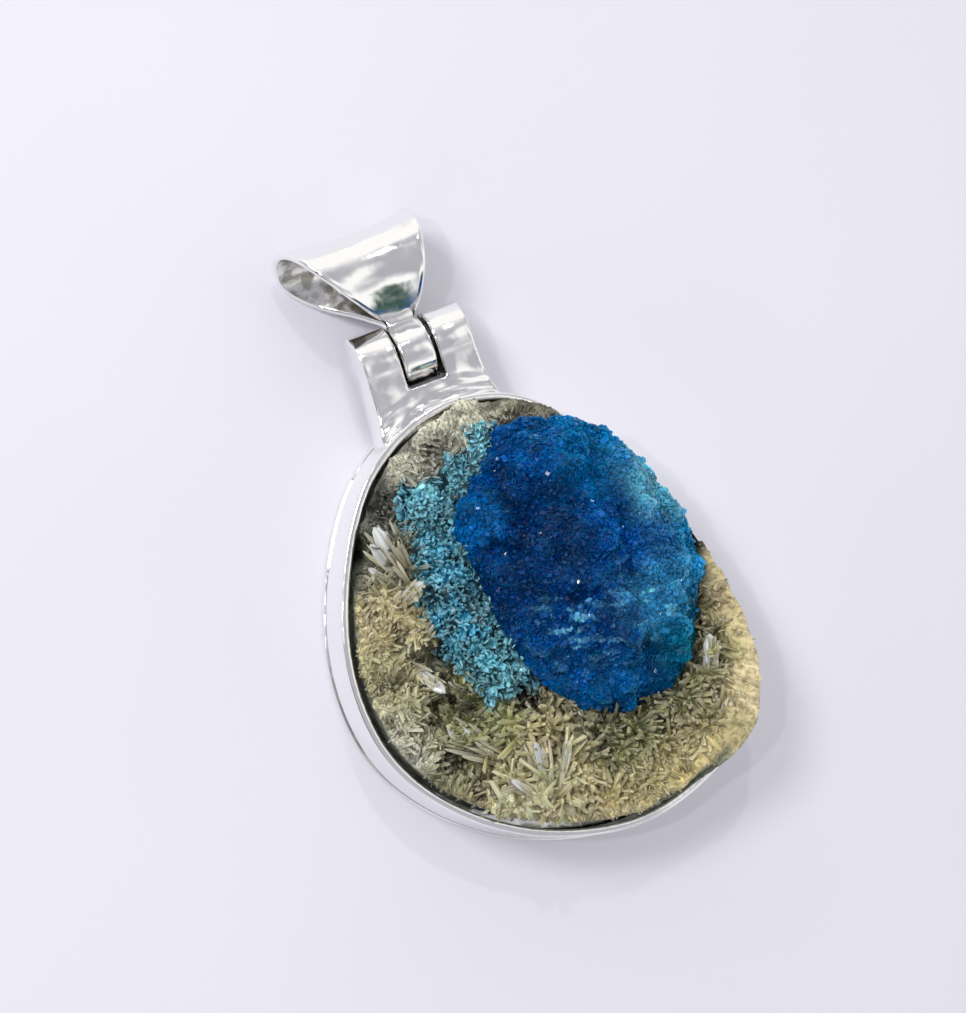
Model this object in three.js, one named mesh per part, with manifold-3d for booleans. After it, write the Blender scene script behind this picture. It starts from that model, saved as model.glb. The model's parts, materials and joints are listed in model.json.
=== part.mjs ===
// A cavansite pendant: deep blue cavansite grown on a slab of cream stilbite, held in a silver bezel cup
// that hangs from a tapered bail on a barrel hinge. Millimetres, +Z up. The pendant lies on its flat
// back plate. The origin is the middle of the plate's underside, +Y runs up the pendant to the bail
// and +Z points out of its face.
import * as THREE from "three";
import { mergeVertices } from "three/addons/utils/BufferGeometryUtils.js";
import Module from "manifold-3d";

const wasm = await Module();
wasm.setup();

// Driving sizes of the setting: EGG is the outline of the wall's rim, and the wall's foot is wider by the lean
const EGG = [
  [0.0, 19.8], [5.6, 18.3], [10.6, 13.0], [14.3, 5.6], [16.4, -1.9], [16.9, -8.7], [14.7, -14.9], [9.8, -18.1],
  [2.3, -19.7], [-6.2, -17.4], [-12.6, -12.6], [-16.2, -6.6], [-16.7, 0.9], [-14.4, 8.4], [-9.5, 15.7], [-4.6, 18.9],
];
const EGG_STEPS = 60;
const PLATE_THICK = 0.8;
const PLATE_LIP = 0.15;
const WALL_THICK = 0.7;
const WALL_TOP = 7.0;
const WALL_LEAN = 0.4;
const FIT_GAP = 0.3;
const FAR_OUTSIDE = -5;

// How near two corners are joined into one, and the finest detail that a joined stone keeps
const WELD = 0.001;
const FINEST = 0.02;
const GOLDEN_ANGLE = Math.PI * (3 - Math.sqrt(5));

// Driving sizes of the hinge, about the pin's middle
const PIN_AT = [-1.0, 24.9, 4.1];
const PIN_RADIUS = 0.7;
const PIN_LENGTH = 9.8;
const PIN_SIDES = 24;
const BARREL_RADIUS = 2.9;
const BARREL_TURN = THREE.MathUtils.degToRad(115);
const YOKE_BORE = 0.72;
const YOKE_WIDTH = { top: 10.3, waist: 9.3, foot: 11.2 };
const YOKE_TOP = 3.4;
const YOKE_WAIST = -2.6;
const YOKE_DEPTH = 8;
const APRON = { foot: -7.5, front: 2.2, back: -2.4, bend: [-3.0, 1.95] };
const SLOT = { width: 3.5, foot: -3.3 };

// Driving sizes of the bail, whose side view is the hull of a large and a small circle
const FOLD = { radius: 3.6, at: 7.7 };
const TIP = { radius: 0.9, at: 3.0 };
const SHEET = 0.65;
const FLARE = 0.5;
const LEAF_HALF_WIDTHS = [[3.0, 1.25], [3.6, 1.9], [4.4, 2.4], [6.4, 3.4], [8.9, 4.7], [11.3, 6.1]];
const TONGUE = { radius: 2.75, width: 3.1, bore: 0.8 };

// The bail is bent a little to the left, and its back leaf more than its front: how far the front goes
// and how far each millimetre of depth adds, from where it starts to where it is full
const SKEW = { front: 1.1, depth: 0.24, from: 3.4, to: 9.5 };

// Driving sizes of the stone
const STONE_EDGE = { right: 1.05, left: 1.25 };
const OVERHANG_EDGE = { right: 0.1, left: 1.25 };
const STONE_TURN = { lean: 0.7, from: -4, to: 12 };
const STONE_CROWN = { middle: 8.1, rise: 0.07, fall: 0.05, lowest: 3.2 };
const STONE_RINGS = [0.97, 0.9, 0.8, 0.68, 0.55, 0.4, 0.22, 0.06];
const BROW = { foot: 1.2, top: 0.4, slope: 0.1 };
const WAVES = [
  { height: 0.25, along: [1.3, 0.7], phase: 0.0 },
  { height: 0.22, along: [0.9, -1.6], phase: 1.0 },
];
const SEAT = 5.2;
const PITS = [
  { at: [-9.6, -0.8], depth: 2.9, radius: 1.9 }, { at: [-9.8, -4.4], depth: 1.6, radius: 1.9 },
  { at: [-3.2, -5.4], depth: 3.2, radius: 1.3 }, { at: [-12.6, 10.6], depth: 4.0, radius: 1.7 },
  { at: [-9.4, -10.2], depth: 1.9, radius: 2.0 }, { at: [-3.4, 13.2], depth: 1.6, radius: 1.6 },
  { at: [12.6, 9.6], depth: 2.2, radius: 1.4 },
];
const KNOLLS = [
  { at: [-13.2, -2.2], height: 1.3, radius: 2.6 }, { at: [-8.2, 12.6], height: 0.9, radius: 2.8 },
  { at: [-3.6, -12.6], height: 1.0, radius: 3.2 }, { at: [11.4, -12.6], height: 0.8, radius: 3.4 },
  { at: [1.2, 17.2], height: 0.8, radius: 2.4 }, { at: [-11.6, 5.0], height: 0.7, radius: 2.2 },
];

// Single clear blades that the face shows, from root to tip, with how far the tip stands over the stone
const CLEAR_BLADES = [
  { root: [-7.6, 5.4], tip: [-9.6, 11.6], lift: 1.2, width: 2.5, thick: 0.9 },
  { root: [-9.6, 6.8], tip: [-12.3, 8.9], lift: 0.9, width: 1.2, thick: 0.6 },
  { root: [-11.6, 5.0], tip: [-8.2, 6.3], lift: 0.9, width: 1.0, thick: 0.6 },
  { root: [-9.8, 1.2], tip: [-7.9, 3.2], lift: 1.2, width: 1.0, thick: 0.6 },
  { root: [-11.6, 0.6], tip: [-9.8, -3.0], lift: 1.6, width: 1.1, thick: 0.6 },
  { root: [-6.4, -10.4], tip: [-10.8, -5.8], lift: 1.1, width: 2.3, thick: 0.9 },
  { root: [11.5, -10.6], tip: [12.7, -6.6], lift: 1.1, width: 1.1, thick: 0.7 },
  { root: [-4.8, -15.0], tip: [-4.6, -9.4], lift: 1.0, width: 1.3, thick: 0.7 },
  { root: [-4.6, -15.2], tip: [-1.8, -10.4], lift: 1.0, width: 1.1, thick: 0.7 },
  { root: [-5.0, -15.0], tip: [-7.6, -11.6], lift: 1.0, width: 1.2, thick: 0.7 },
];
const ROOT_DEPTH = 0.7;

// Sheaves of stilbite: how many, how far they reach from the middle, and the range of a blade's sizes
const SHEAVES = { count: 34, reach: [13.2, 15.2], blades: 2, spread: 0.5, seed: 11 };
const TIP_MARGIN = 1.6;
const BLADE_SIZE = { length: [2.6, 4.0], width: [1.0, 1.7], thick: [0.5, 0.8], lift: [0.5, 1.3] };

// The blue cluster and the pale druse beside it, each with its outline from above and its lobes: the
// middle of a lobe's base, its reach and the height of its top
const LOBE_BASE = 6.4;
const CLUSTER = {
  middle: [5.2, 3.0],
  outline: [
    [2.6, 16.5], [5.6, 16.4], [10.0, 14.6], [12.4, 10.8], [13.7, 7.9], [14.9, 3.8], [15.4, 0.6], [14.1, -3.6],
    [13.0, -6.4], [9.8, -9.4], [6.7, -10.4], [3.2, -10.8], [-0.6, -7.5], [-2.2, -5.0], [-3.3, -0.9], [-3.3, 3.6],
    [-4.2, 8.1], [-4.4, 11.4], [-1.4, 12.6], [0.8, 14.4],
  ],
  lobes: [
    { at: [5.6, 3.0], reach: [12.0, 16.0], top: 11.2 },
    { at: [4.6, 4.4], reach: [6.2, 6.2], top: 14.0 }, { at: [5.4, 11.4], reach: [4.9, 4.2], top: 12.2 },
    { at: [10.6, 7.0], reach: [3.4, 5.2], top: 12.8 }, { at: [11.0, 0.4], reach: [3.5, 4.4], top: 12.9 },
    { at: [4.8, -2.8], reach: [5.0, 4.8], top: 13.4 }, { at: [9.4, -4.6], reach: [3.4, 3.6], top: 11.9 },
    { at: [3.8, -6.9], reach: [3.6, 3.2], top: 11.2 }, { at: [0.2, -0.8], reach: [3.0, 4.4], top: 11.6 },
    { at: [-1.2, 8.6], reach: [2.8, 3.2], top: 10.6 }, { at: [-0.3, 4.4], reach: [2.6, 3.6], top: 11.4 },
  ],
  crystals: { perLobe: 11, length: [0.9, 1.5], width: [1.7, 2.4], sink: 0.7, seed: 3 },
};
const DRUSE = {
  middle: [-5.7, 4.0],
  outline: [
    [-6.0, 14.3], [-7.2, 12.4], [-7.2, 9.2], [-8.5, 5.5], [-8.1, 2.0], [-7.3, -1.5], [-6.0, -5.0], [-4.4, -5.7],
    [-3.2, -3.2], [-3.6, 0.0], [-3.6, 3.6], [-4.6, 8.0], [-4.8, 11.6], [-4.0, 13.6],
  ],
  lobes: [
    { at: [-5.7, 12.4], reach: [1.9, 2.0], top: 8.9 }, { at: [-6.0, 8.8], reach: [1.8, 2.6], top: 9.0 },
    { at: [-6.3, 4.9], reach: [2.4, 2.8], top: 9.3 }, { at: [-6.0, 1.2], reach: [2.3, 2.8], top: 9.3 },
    { at: [-5.4, -2.0], reach: [2.1, 2.6], top: 9.1 }, { at: [-4.8, -4.4], reach: [1.5, 1.7], top: 8.7 },
  ],
  crystals: { perLobe: 4, length: [0.5, 0.7], width: [0.9, 1.3], sink: 0.4, seed: 5 },
};

// How far the growth's sides lean out as they rise, as heights with shares of its outline
const FUNNEL = [[SEAT, 0.8], [7.2, 0.9], [9.0, 1.0], [20.0, 1.12]];
const FUNNEL_STEPS = 30;

// A crystal's sections, each with its share of the length, the width and the thickness
const CRYSTAL_SECTIONS = [[0.0, 0.7, 0.8], [0.7, 1.0, 1.0], [1.0, 0.25, 0.3]];

// The lowest and highest crystal on a lobe as shares of its height, how much flatter a crystal is than
// it is wide, how near its surface a place counts as inside a lobe, and how a crystal's face is turned
const CRYSTAL_RISE = [0.12, 0.99];
const CRYSTAL_FLATNESS = 0.6;
const LOBE_SKIN = 0.99;
const FACE = { turns: 7, rise: 0.3 };

const vec = (x, y, z = 0) => new THREE.Vector3(x, y, z);
const range = (count) => Array.from({ length: count }, (_, i) => i);
const lerp = THREE.MathUtils.lerp;

// A repeatable source of numbers from 0 to 1.
function randomFrom(seed) {
  let state = seed;
  return () => {
    state = (state * 1664525 + 1013904223) % 4294967296;
    return state / 4294967296;
  };
}

// Joins loops of equally many points into one closed surface. The loops run so that each next one is
// on the left of the last, seen from outside. A ring joins its last loop to its first, and any other
// surface is closed at both ends with a fan.
function skin(loops, ring = false) {
  const count = loops[0].length;
  const points = loops.flat();
  const faces = [];
  const spans = ring ? loops.length : loops.length - 1;
  for (const i of range(spans)) {
    const [low, high] = [i * count, ((i + 1) % loops.length) * count];
    for (const j of range(count)) {
      const next = (j + 1) % count;
      faces.push(low + j, low + next, high + next, low + j, high + next, high + j);
    }
  }
  if (!ring) {
    const middle = (loop) => loop.reduce((sum, p) => sum.add(p), vec(0, 0)).divideScalar(count);
    const last = (loops.length - 1) * count;
    const [bottom, top] = [points.length, points.length + 1];
    points.push(middle(loops[0]), middle(loops.at(-1)));
    for (const j of range(count)) {
      const next = (j + 1) % count;
      faces.push(bottom, next, j, top, last + j, last + next);
    }
  }
  const geometry = new THREE.BufferGeometry().setFromPoints(points);
  geometry.setIndex(faces);
  return geometry;
}

// A closed geometry as a solid that can be joined and cut.
function toSolid(geometry) {
  const bare = geometry.clone();
  bare.deleteAttribute("normal");
  bare.deleteAttribute("uv");
  const merged = mergeVertices(bare, WELD);
  const triVerts = new Uint32Array(merged.index.array);
  return new wasm.Manifold(
    new wasm.Mesh({ numProp: 3, vertProperties: merged.attributes.position.array, triVerts }),
  );
}

// A solid as a geometry with flat faces.
function toGeometry(solid) {
  const mesh = solid.getMesh();
  const positions = range(mesh.numVert).flatMap((i) => [
    ...mesh.vertProperties.subarray(i * mesh.numProp, i * mesh.numProp + 3),
  ]);
  const geometry = new THREE.BufferGeometry();
  geometry.setAttribute("position", new THREE.Float32BufferAttribute(positions, 3));
  geometry.setIndex([...mesh.triVerts]);
  return geometry;
}

// The largest body of a solid, without slivers, loose chips and sealed hollows.
function largest(solid) {
  const bodies = solid.simplify(FINEST).decompose();
  return bodies.reduce((a, b) => (a.volume() > b.volume() ? a : b));
}

// A box between two corners.
function boxSolid(low, high) {
  const size = vec(...high).sub(vec(...low));
  const middle = vec(...low).addScaledVector(size, 0.5);
  const geometry = new THREE.BoxGeometry(size.x, size.y, size.z);
  return toSolid(geometry.translate(middle.x, middle.y, middle.z));
}

// A round bar along X about the axis.
function barSolid(radius, width, sides = PIN_SIDES) {
  return toSolid(new THREE.CylinderGeometry(radius, radius, width, sides).rotateZ(Math.PI / 2));
}

// A closed curve through corners, counter-clockwise from above, as points with the direction inwards.
function outlineThrough(corners, steps) {
  const turned = corners.map(([x, y]) => vec(x, y));
  if (THREE.ShapeUtils.isClockWise(turned)) turned.reverse();
  const points = new THREE.CatmullRomCurve3(turned, true).getSpacedPoints(steps).slice(0, -1);
  return points.map((point, i) => {
    const before = points[(i + steps - 1) % steps];
    const along = points[(i + 1) % steps].clone().sub(before).normalize();
    return { point, inward: vec(-along.y, along.x) };
  });
}

const eggSamples = outlineThrough(EGG, EGG_STEPS);

// The egg outline at a height, moved inwards by a distance or by a function of the point.
function eggLoop(z, inset = 0) {
  return eggSamples.map(({ point, inward }) => {
    const distance = typeof inset === "function" ? inset(point) : inset;
    return point.clone().addScaledVector(inward, distance).setZ(z);
  });
}

// The wall's leaning outside at a height, moved inwards by a distance.
function wallLoop(z, inset = 0) {
  return eggLoop(z, inset - THREE.MathUtils.mapLinear(z, WALL_TOP, PLATE_THICK, 0, WALL_LEAN));
}

function makeBackPlate() {
  const lip = -WALL_LEAN - PLATE_LIP;
  return skin([eggLoop(0, lip), eggLoop(PLATE_THICK, lip)]);
}

function makeBezelWall() {
  return skin([
    wallLoop(PLATE_THICK, WALL_THICK),
    wallLoop(PLATE_THICK),
    wallLoop(WALL_TOP),
    wallLoop(WALL_TOP, WALL_THICK),
  ], true);
}

// The hinge yoke seen from the side: a barrel round the pin with an apron that reaches the wall.
function yokeSide() {
  const shape = new THREE.Shape();
  shape.moveTo(APRON.foot, APRON.back);
  shape.absarc(0, 0, BARREL_RADIUS, -BARREL_TURN, BARREL_TURN, false);
  shape.quadraticCurveTo(...APRON.bend, APRON.foot, APRON.front);
  return shape;
}

// The hinge yoke seen from the front: narrowest at its waist and widest at its foot.
function yokeFront() {
  const [top, waist, foot] = [YOKE_WIDTH.top, YOKE_WIDTH.waist, YOKE_WIDTH.foot].map((w) => w / 2);
  const shape = new THREE.Shape();
  shape.moveTo(-foot, APRON.foot);
  shape.lineTo(foot, APRON.foot);
  shape.quadraticCurveTo(waist, YOKE_WAIST, top, YOKE_TOP);
  shape.lineTo(-top, YOKE_TOP);
  shape.quadraticCurveTo(-waist, YOKE_WAIST, -foot, APRON.foot);
  return shape;
}

function makeHingeYoke() {
  const width = YOKE_WIDTH.foot + 1;
  const side = new THREE.ExtrudeGeometry(yokeSide(), { depth: width, bevelEnabled: false, curveSegments: 14 });
  side.translate(0, 0, -width / 2);
  side.applyMatrix4(new THREE.Matrix4().makeBasis(vec(0, 1), vec(0, 0, 1), vec(1, 0)));
  const front = new THREE.ExtrudeGeometry(yokeFront(), { depth: YOKE_DEPTH, bevelEnabled: false, curveSegments: 8 });
  front.translate(0, 0, -YOKE_DEPTH / 2);
  const slot = boxSolid([-SLOT.width / 2, SLOT.foot, -YOKE_DEPTH / 2], [SLOT.width / 2, YOKE_TOP, YOKE_DEPTH / 2]);
  const cup = skin([wallLoop(0, -FIT_GAP), wallLoop(WALL_TOP, -FIT_GAP)]);
  cup.translate(-PIN_AT[0], -PIN_AT[1], -PIN_AT[2]);
  return toGeometry(
    toSolid(side)
      .intersect(toSolid(front))
      .subtract(slot)
      .subtract(barSolid(YOKE_BORE, width))
      .subtract(toSolid(cup)),
  );
}

// The bail's loop seen from the side, as the hull of the fold's circle and the tip's circle, both
// made smaller by a distance. Each sample has its place and the direction that leads outwards.
function bailLoop(thinner) {
  const slope = Math.asin((FOLD.radius - TIP.radius) / (FOLD.at - TIP.at));
  const [foldSteps, tipSteps, sideSteps] = [18, 4, 5];
  const spot = (circle, angle) => {
    const out = vec(0, Math.cos(angle), Math.sin(angle));
    const radius = circle.radius - thinner;
    return { place: vec(0, circle.at, 0).addScaledVector(out, radius), out };
  };
  const half = Math.PI / 2 + slope;
  const fold = range(foldSteps + 1).map((i) => spot(FOLD, lerp(half, -half, i / foldSteps)));
  const tip = range(tipSteps + 1).map((i) => spot(TIP, lerp(-half, half - 2 * Math.PI, i / tipSteps)));
  const between = (a, b) =>
    range(sideSteps - 1).map((i) => {
      const share = (i + 1) / sideSteps;
      return { place: a.place.clone().lerp(b.place, share), out: a.out.clone() };
    });
  return [...fold, ...between(fold.at(-1), tip[0]), ...tip, ...between(tip.at(-1), fold[0])];
}

// Half the width of the bail's sheet at a place, by its distance from the pin.
function leafHalfWidth(place) {
  const reach = Math.hypot(place.y, place.z);
  const next = LEAF_HALF_WIDTHS.findIndex(([distance]) => distance > reach);
  if (next === 0) return LEAF_HALF_WIDTHS[0][1];
  if (next < 0) return LEAF_HALF_WIDTHS.at(-1)[1];
  const [[near, narrow], [far, wide]] = LEAF_HALF_WIDTHS.slice(next - 1, next + 1);
  return THREE.MathUtils.mapLinear(reach, near, far, narrow, wide);
}

// How far the bail's sheet is bent to the left at a place.
function skewAt(place) {
  const far = SKEW.front + SKEW.depth * (FOLD.radius - place.z);
  return far * THREE.MathUtils.smoothstep(place.y, SKEW.from, SKEW.to);
}

function makeBail() {
  const stations = 5;
  const shares = range(stations).map((i) => lerp(1, -1, i / (stations - 1)));
  const outer = bailLoop(0);
  const loopAt = (loop, share) =>
    loop.map(({ place, out }, i) => {
      const rise = vec(share * leafHalfWidth(outer[i].place) - skewAt(place), 0);
      const flare = FLARE * share * share * THREE.MathUtils.smoothstep(place.y, TIP.at, FOLD.at);
      return place.clone().add(rise).addScaledVector(out, flare);
    });
  const loops = [
    ...shares.map((share) => loopAt(outer, share)),
    ...shares.toReversed().map((share) => loopAt(bailLoop(SHEET), share)),
  ];
  return toGeometry(
    toSolid(skin(loops, true))
      .add(barSolid(TONGUE.radius, TONGUE.width))
      .subtract(barSolid(TONGUE.bore, 2 * TONGUE.width)),
  );
}

function makeHingePin() {
  return toGeometry(barSolid(PIN_RADIUS, PIN_LENGTH));
}

// The height of the stone's upper face, which rises to the lower right and is broken by pits.
function stoneTop(x, y) {
  const bell = ({ at, radius }) => Math.exp(-((x - at[0]) ** 2 + (y - at[1]) ** 2) / radius ** 2);
  const slope = STONE_CROWN.middle + STONE_CROWN.rise * x - STONE_CROWN.fall * y;
  const wave = ({ height, along, phase }) => height * Math.sin(along[0] * x + along[1] * y + phase);
  const waves = WAVES.reduce((sum, one) => sum + wave(one), 0);
  const pits = PITS.reduce((sum, pit) => sum + pit.depth * bell(pit), 0);
  const knolls = KNOLLS.reduce((sum, knoll) => sum + knoll.height * bell(knoll), 0);
  return Math.max(slope + waves + knolls - pits, STONE_CROWN.lowest);
}

// How far the stone stands in from the rim's outline, from its right side to its left.
function stoneInset({ right, left }) {
  const { lean, from, to } = STONE_TURN;
  return (point) => lerp(right, left, THREE.MathUtils.smoothstep(-point.x - lean * point.y, from, to));
}

// The slab: upright inside the wall, out over the rim on its lower right, and domed on top.
function stoneSlab() {
  const foot = eggLoop(PLATE_THICK, stoneInset(STONE_EDGE));
  const brow = eggLoop(0, stoneInset(OVERHANG_EDGE));
  const ledge = (p) => Math.min(WALL_TOP + FIT_GAP, stoneTop(p.x, p.y) - BROW.foot);
  const tops = STONE_RINGS.map((share) =>
    brow.map((p) => vec(p.x * share, p.y * share, stoneTop(p.x * share, p.y * share))),
  );
  return toSolid(skin([
    foot,
    foot.map((p) => p.clone().setZ(ledge(p))),
    brow.map((p) => p.clone().setZ(ledge(p) + BROW.slope)),
    brow.map((p) => p.clone().setZ(stoneTop(p.x, p.y) - BROW.top)),
    ...tops,
  ]));
}

// A flat four-sided crystal from its root to its tip, with a chisel end.
function crystal({ root, tip, width, thick, face = vec(0, 0, 1) }) {
  const axis = tip.clone().sub(root).normalize();
  const across = new THREE.Vector3().crossVectors(axis, face).normalize();
  const out = new THREE.Vector3().crossVectors(axis, across).normalize();
  const section = ([share, wide, deep]) =>
    [[1, 0], [0, 1], [-1, 0], [0, -1]].map(([a, b]) =>
      root
        .clone()
        .lerp(tip, share)
        .addScaledVector(across, (a * width * wide) / 2)
        .addScaledVector(out, (b * thick * deep) / 2),
    );
  return toSolid(skin(CRYSTAL_SECTIONS.map(section)));
}

// A blade rooted in the stone's face, its tip standing over the higher of its two ends.
function blade({ root, tip, lift, width, thick }) {
  const crown = Math.max(stoneTop(...root), stoneTop(...tip));
  return crystal({
    root: vec(...root, stoneTop(...root) - ROOT_DEPTH),
    tip: vec(...tip, crown + lift),
    width,
    thick,
  });
}

// Fans of stilbite blades spread over the stone.
function sheafBlades() {
  const random = randomFrom(SHEAVES.seed);
  const pick = ([low, high]) => lerp(low, high, random());
  const blades = [];
  for (const i of range(SHEAVES.count)) {
    const angle = i * GOLDEN_ANGLE;
    const share = Math.sqrt((i + 0.5) / SHEAVES.count);
    const spot = vec(Math.cos(angle) * share * SHEAVES.reach[0], Math.sin(angle) * share * SHEAVES.reach[1]);
    const heading = random() * 2 * Math.PI;
    for (const j of range(SHEAVES.blades)) {
      const turn = heading + (j - 1) * SHEAVES.spread;
      const length = pick(BLADE_SIZE.length);
      const flat = vec(Math.cos(turn), Math.sin(turn));
      const end = spot.clone().addScaledVector(flat, length);
      const sizes = { lift: pick(BLADE_SIZE.lift), width: pick(BLADE_SIZE.width), thick: pick(BLADE_SIZE.thick) };
      if (insideStone(end)) blades.push(blade({ root: [spot.x, spot.y], tip: [end.x, end.y], ...sizes }));
    }
  }
  return blades;
}

// Whether a point lies over the stone, by the share of its distance to the outline along the same ray.
function insideStone(point) {
  const angle = Math.atan2(point.y, point.x);
  const gap = (sample) => Math.abs(angleBetween(Math.atan2(sample.point.y, sample.point.x), angle));
  const nearest = eggSamples.reduce((a, b) => (gap(a) < gap(b) ? a : b));
  return point.length() < nearest.point.length() - TIP_MARGIN;
}

function angleBetween(a, b) {
  return Math.atan2(Math.sin(a - b), Math.cos(a - b));
}

// One rounded lobe.
function lobe({ at, reach, top }) {
  const ball = new THREE.IcosahedronGeometry(1, 1);
  ball.scale(reach[0], reach[1], top - LOBE_BASE);
  return toSolid(ball.translate(at[0], at[1], LOBE_BASE));
}

// Whether a place lies inside a lobe.
function insideLobe({ at, reach, top }, place) {
  const unit = place.clone().sub(vec(at[0], at[1], LOBE_BASE)).divide(vec(...reach, top - LOBE_BASE));
  return unit.length() < LOBE_SKIN;
}

// Crystals that point straight out of a lobe, where no other lobe covers their root.
function crystalsOn(one, growth, random) {
  const { perLobe, length, width, sink } = growth.crystals;
  const pick = ([low, high]) => lerp(low, high, random());
  const size = vec(...one.reach, one.top - LOBE_BASE);
  const crystals = [];
  for (const i of range(perLobe)) {
    const height = lerp(...CRYSTAL_RISE, (i + 0.5) / perLobe);
    const angle = i * GOLDEN_ANGLE + random();
    const flat = Math.sqrt(1 - height * height);
    const unit = vec(Math.cos(angle) * flat, Math.sin(angle) * flat, height);
    const spot = vec(one.at[0], one.at[1], LOBE_BASE).add(unit.clone().multiply(size));
    const [reach, broad] = [pick(length), pick(width)];
    if (growth.lobes.some((other) => other !== one && insideLobe(other, spot))) continue;
    const out = unit.divide(size).normalize();
    const root = spot.clone().addScaledVector(out, -sink);
    const tip = spot.clone().addScaledVector(out, reach);
    const face = vec(Math.cos(FACE.turns * angle), Math.sin(FACE.turns * angle), FACE.rise);
    crystals.push(crystal({ root, tip, width: broad, thick: CRYSTAL_FLATNESS * broad, face }));
  }
  return crystals;
}

// The room of a growth: its outline, which leans out as it rises, moved outwards by a gap.
function funnel({ outline, middle }, gap = 0) {
  const samples = outlineThrough(outline, FUNNEL_STEPS);
  const loops = FUNNEL.map(([z, share]) =>
    samples.map(({ point, inward }) =>
      vec(...middle).lerp(point, share).addScaledVector(inward, -gap).setZ(z),
    ),
  );
  return toSolid(skin(loops));
}

// Lobes studded with crystals, kept to the growth's room and clear of the wall.
function grown(growth) {
  const random = randomFrom(growth.crystals.seed);
  const crystals = growth.lobes.flatMap((one) => crystalsOn(one, growth, random));
  return wasm.Manifold.union([...growth.lobes.map(lobe), ...crystals])
    .intersect(funnel(growth))
    .subtract(wallRoom());
}

// The ring that the stone keeps clear of, so that it stands clear of the wall and over its rim.
function wallRoom() {
  const [inner, top] = [WALL_THICK + FIT_GAP, WALL_TOP + FIT_GAP];
  const loops = [eggLoop(0, inner), eggLoop(0, FAR_OUTSIDE), eggLoop(top, FAR_OUTSIDE), eggLoop(top, inner)];
  return toSolid(skin(loops, true));
}

function makeCluster() {
  return toGeometry(largest(grown(CLUSTER)));
}

function makeDruse() {
  return toGeometry(largest(grown(DRUSE).subtract(funnel(CLUSTER, FIT_GAP))));
}

function makeMatrix() {
  const whole = wasm.Manifold.union([stoneSlab(), ...sheafBlades(), ...CLEAR_BLADES.map(blade)]);
  const rooms = wasm.Manifold.union([funnel(CLUSTER, FIT_GAP), funnel(DRUSE, FIT_GAP), wallRoom()]);
  return toGeometry(largest(whole.subtract(rooms)));
}

const silver = new THREE.MeshStandardMaterial({ color: 0xe9e6e2, metalness: 1.0, roughness: 0.12 });
const steel = new THREE.MeshStandardMaterial({ color: 0xc9c6c0, metalness: 1.0, roughness: 0.3 });
const stilbite = new THREE.MeshStandardMaterial({ color: 0xb9a988, metalness: 0.0, roughness: 0.45 });
const blue = new THREE.MeshStandardMaterial({ color: 0x0a4a8f, metalness: 0.0, roughness: 0.25 });
const paleBlue = new THREE.MeshStandardMaterial({ color: 0x5fb0c4, metalness: 0.0, roughness: 0.35 });

function named(name, geometry, material, place = [0, 0, 0]) {
  const mesh = new THREE.Mesh(geometry, material);
  mesh.name = name;
  mesh.position.set(...place);
  return mesh;
}

const setting = new THREE.Group();
setting.add(
  named("back_plate", makeBackPlate(), silver),
  named("bezel_wall", makeBezelWall(), silver),
  named("hinge_yoke", makeHingeYoke(), silver, PIN_AT),
  named("hinge_pin", makeHingePin(), steel, PIN_AT),
);

const specimen = new THREE.Group();
specimen.add(
  named("stilbite_matrix", makeMatrix(), stilbite),
  named("cavansite_cluster", makeCluster(), blue),
  named("cavansite_druse", makeDruse(), paleBlue),
);

const pendant = new THREE.Group();
pendant.add(setting, specimen, named("bail", makeBail(), silver, PIN_AT));

export default pendant;
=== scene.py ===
"""A cavansite specimen in its silver pendant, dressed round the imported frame.

Every shape is modelled in millimetres, in the frame's own axes, and scaled to metres as it is finished.
The pendant lies on its back plate: +Y runs up to the bail and +Z points out of its face.
"""

import json
import logging
import math
from dataclasses import dataclass, field
from enum import Enum
from typing import Any

import bmesh
import bpy
import numpy as np
from mathutils import Matrix, Vector, noise
from mathutils.bvhtree import BVHTree

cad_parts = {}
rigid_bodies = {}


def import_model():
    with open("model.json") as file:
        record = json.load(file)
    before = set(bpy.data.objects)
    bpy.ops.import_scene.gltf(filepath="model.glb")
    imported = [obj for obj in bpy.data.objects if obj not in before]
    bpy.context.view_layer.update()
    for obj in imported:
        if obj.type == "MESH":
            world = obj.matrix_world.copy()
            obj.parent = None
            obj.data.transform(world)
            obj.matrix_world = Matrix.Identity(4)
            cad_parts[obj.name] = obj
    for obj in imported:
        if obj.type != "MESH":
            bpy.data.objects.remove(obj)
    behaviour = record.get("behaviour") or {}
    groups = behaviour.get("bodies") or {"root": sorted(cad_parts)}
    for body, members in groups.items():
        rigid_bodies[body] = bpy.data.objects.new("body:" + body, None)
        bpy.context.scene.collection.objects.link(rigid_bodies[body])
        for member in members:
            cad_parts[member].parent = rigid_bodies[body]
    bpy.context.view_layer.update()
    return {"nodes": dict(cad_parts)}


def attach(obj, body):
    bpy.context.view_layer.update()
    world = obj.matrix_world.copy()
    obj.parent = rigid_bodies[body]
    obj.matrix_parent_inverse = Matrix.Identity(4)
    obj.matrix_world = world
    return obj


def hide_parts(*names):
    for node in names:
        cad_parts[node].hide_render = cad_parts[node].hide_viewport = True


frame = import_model()

LOG = logging.getLogger("pendant")
MM = 0.001
PER_METRE = 1000.0
SETTING = "setting"
BAIL = "bail"
PIN_AT = np.array([-1.0, 24.9, 4.1])
VIEW_RIGHT = (0.935, -0.354)
Pair = tuple[float, float]
Colour = tuple[float, float, float]
Layers = tuple[tuple[float, float, float], ...]


# Node trees

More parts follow.
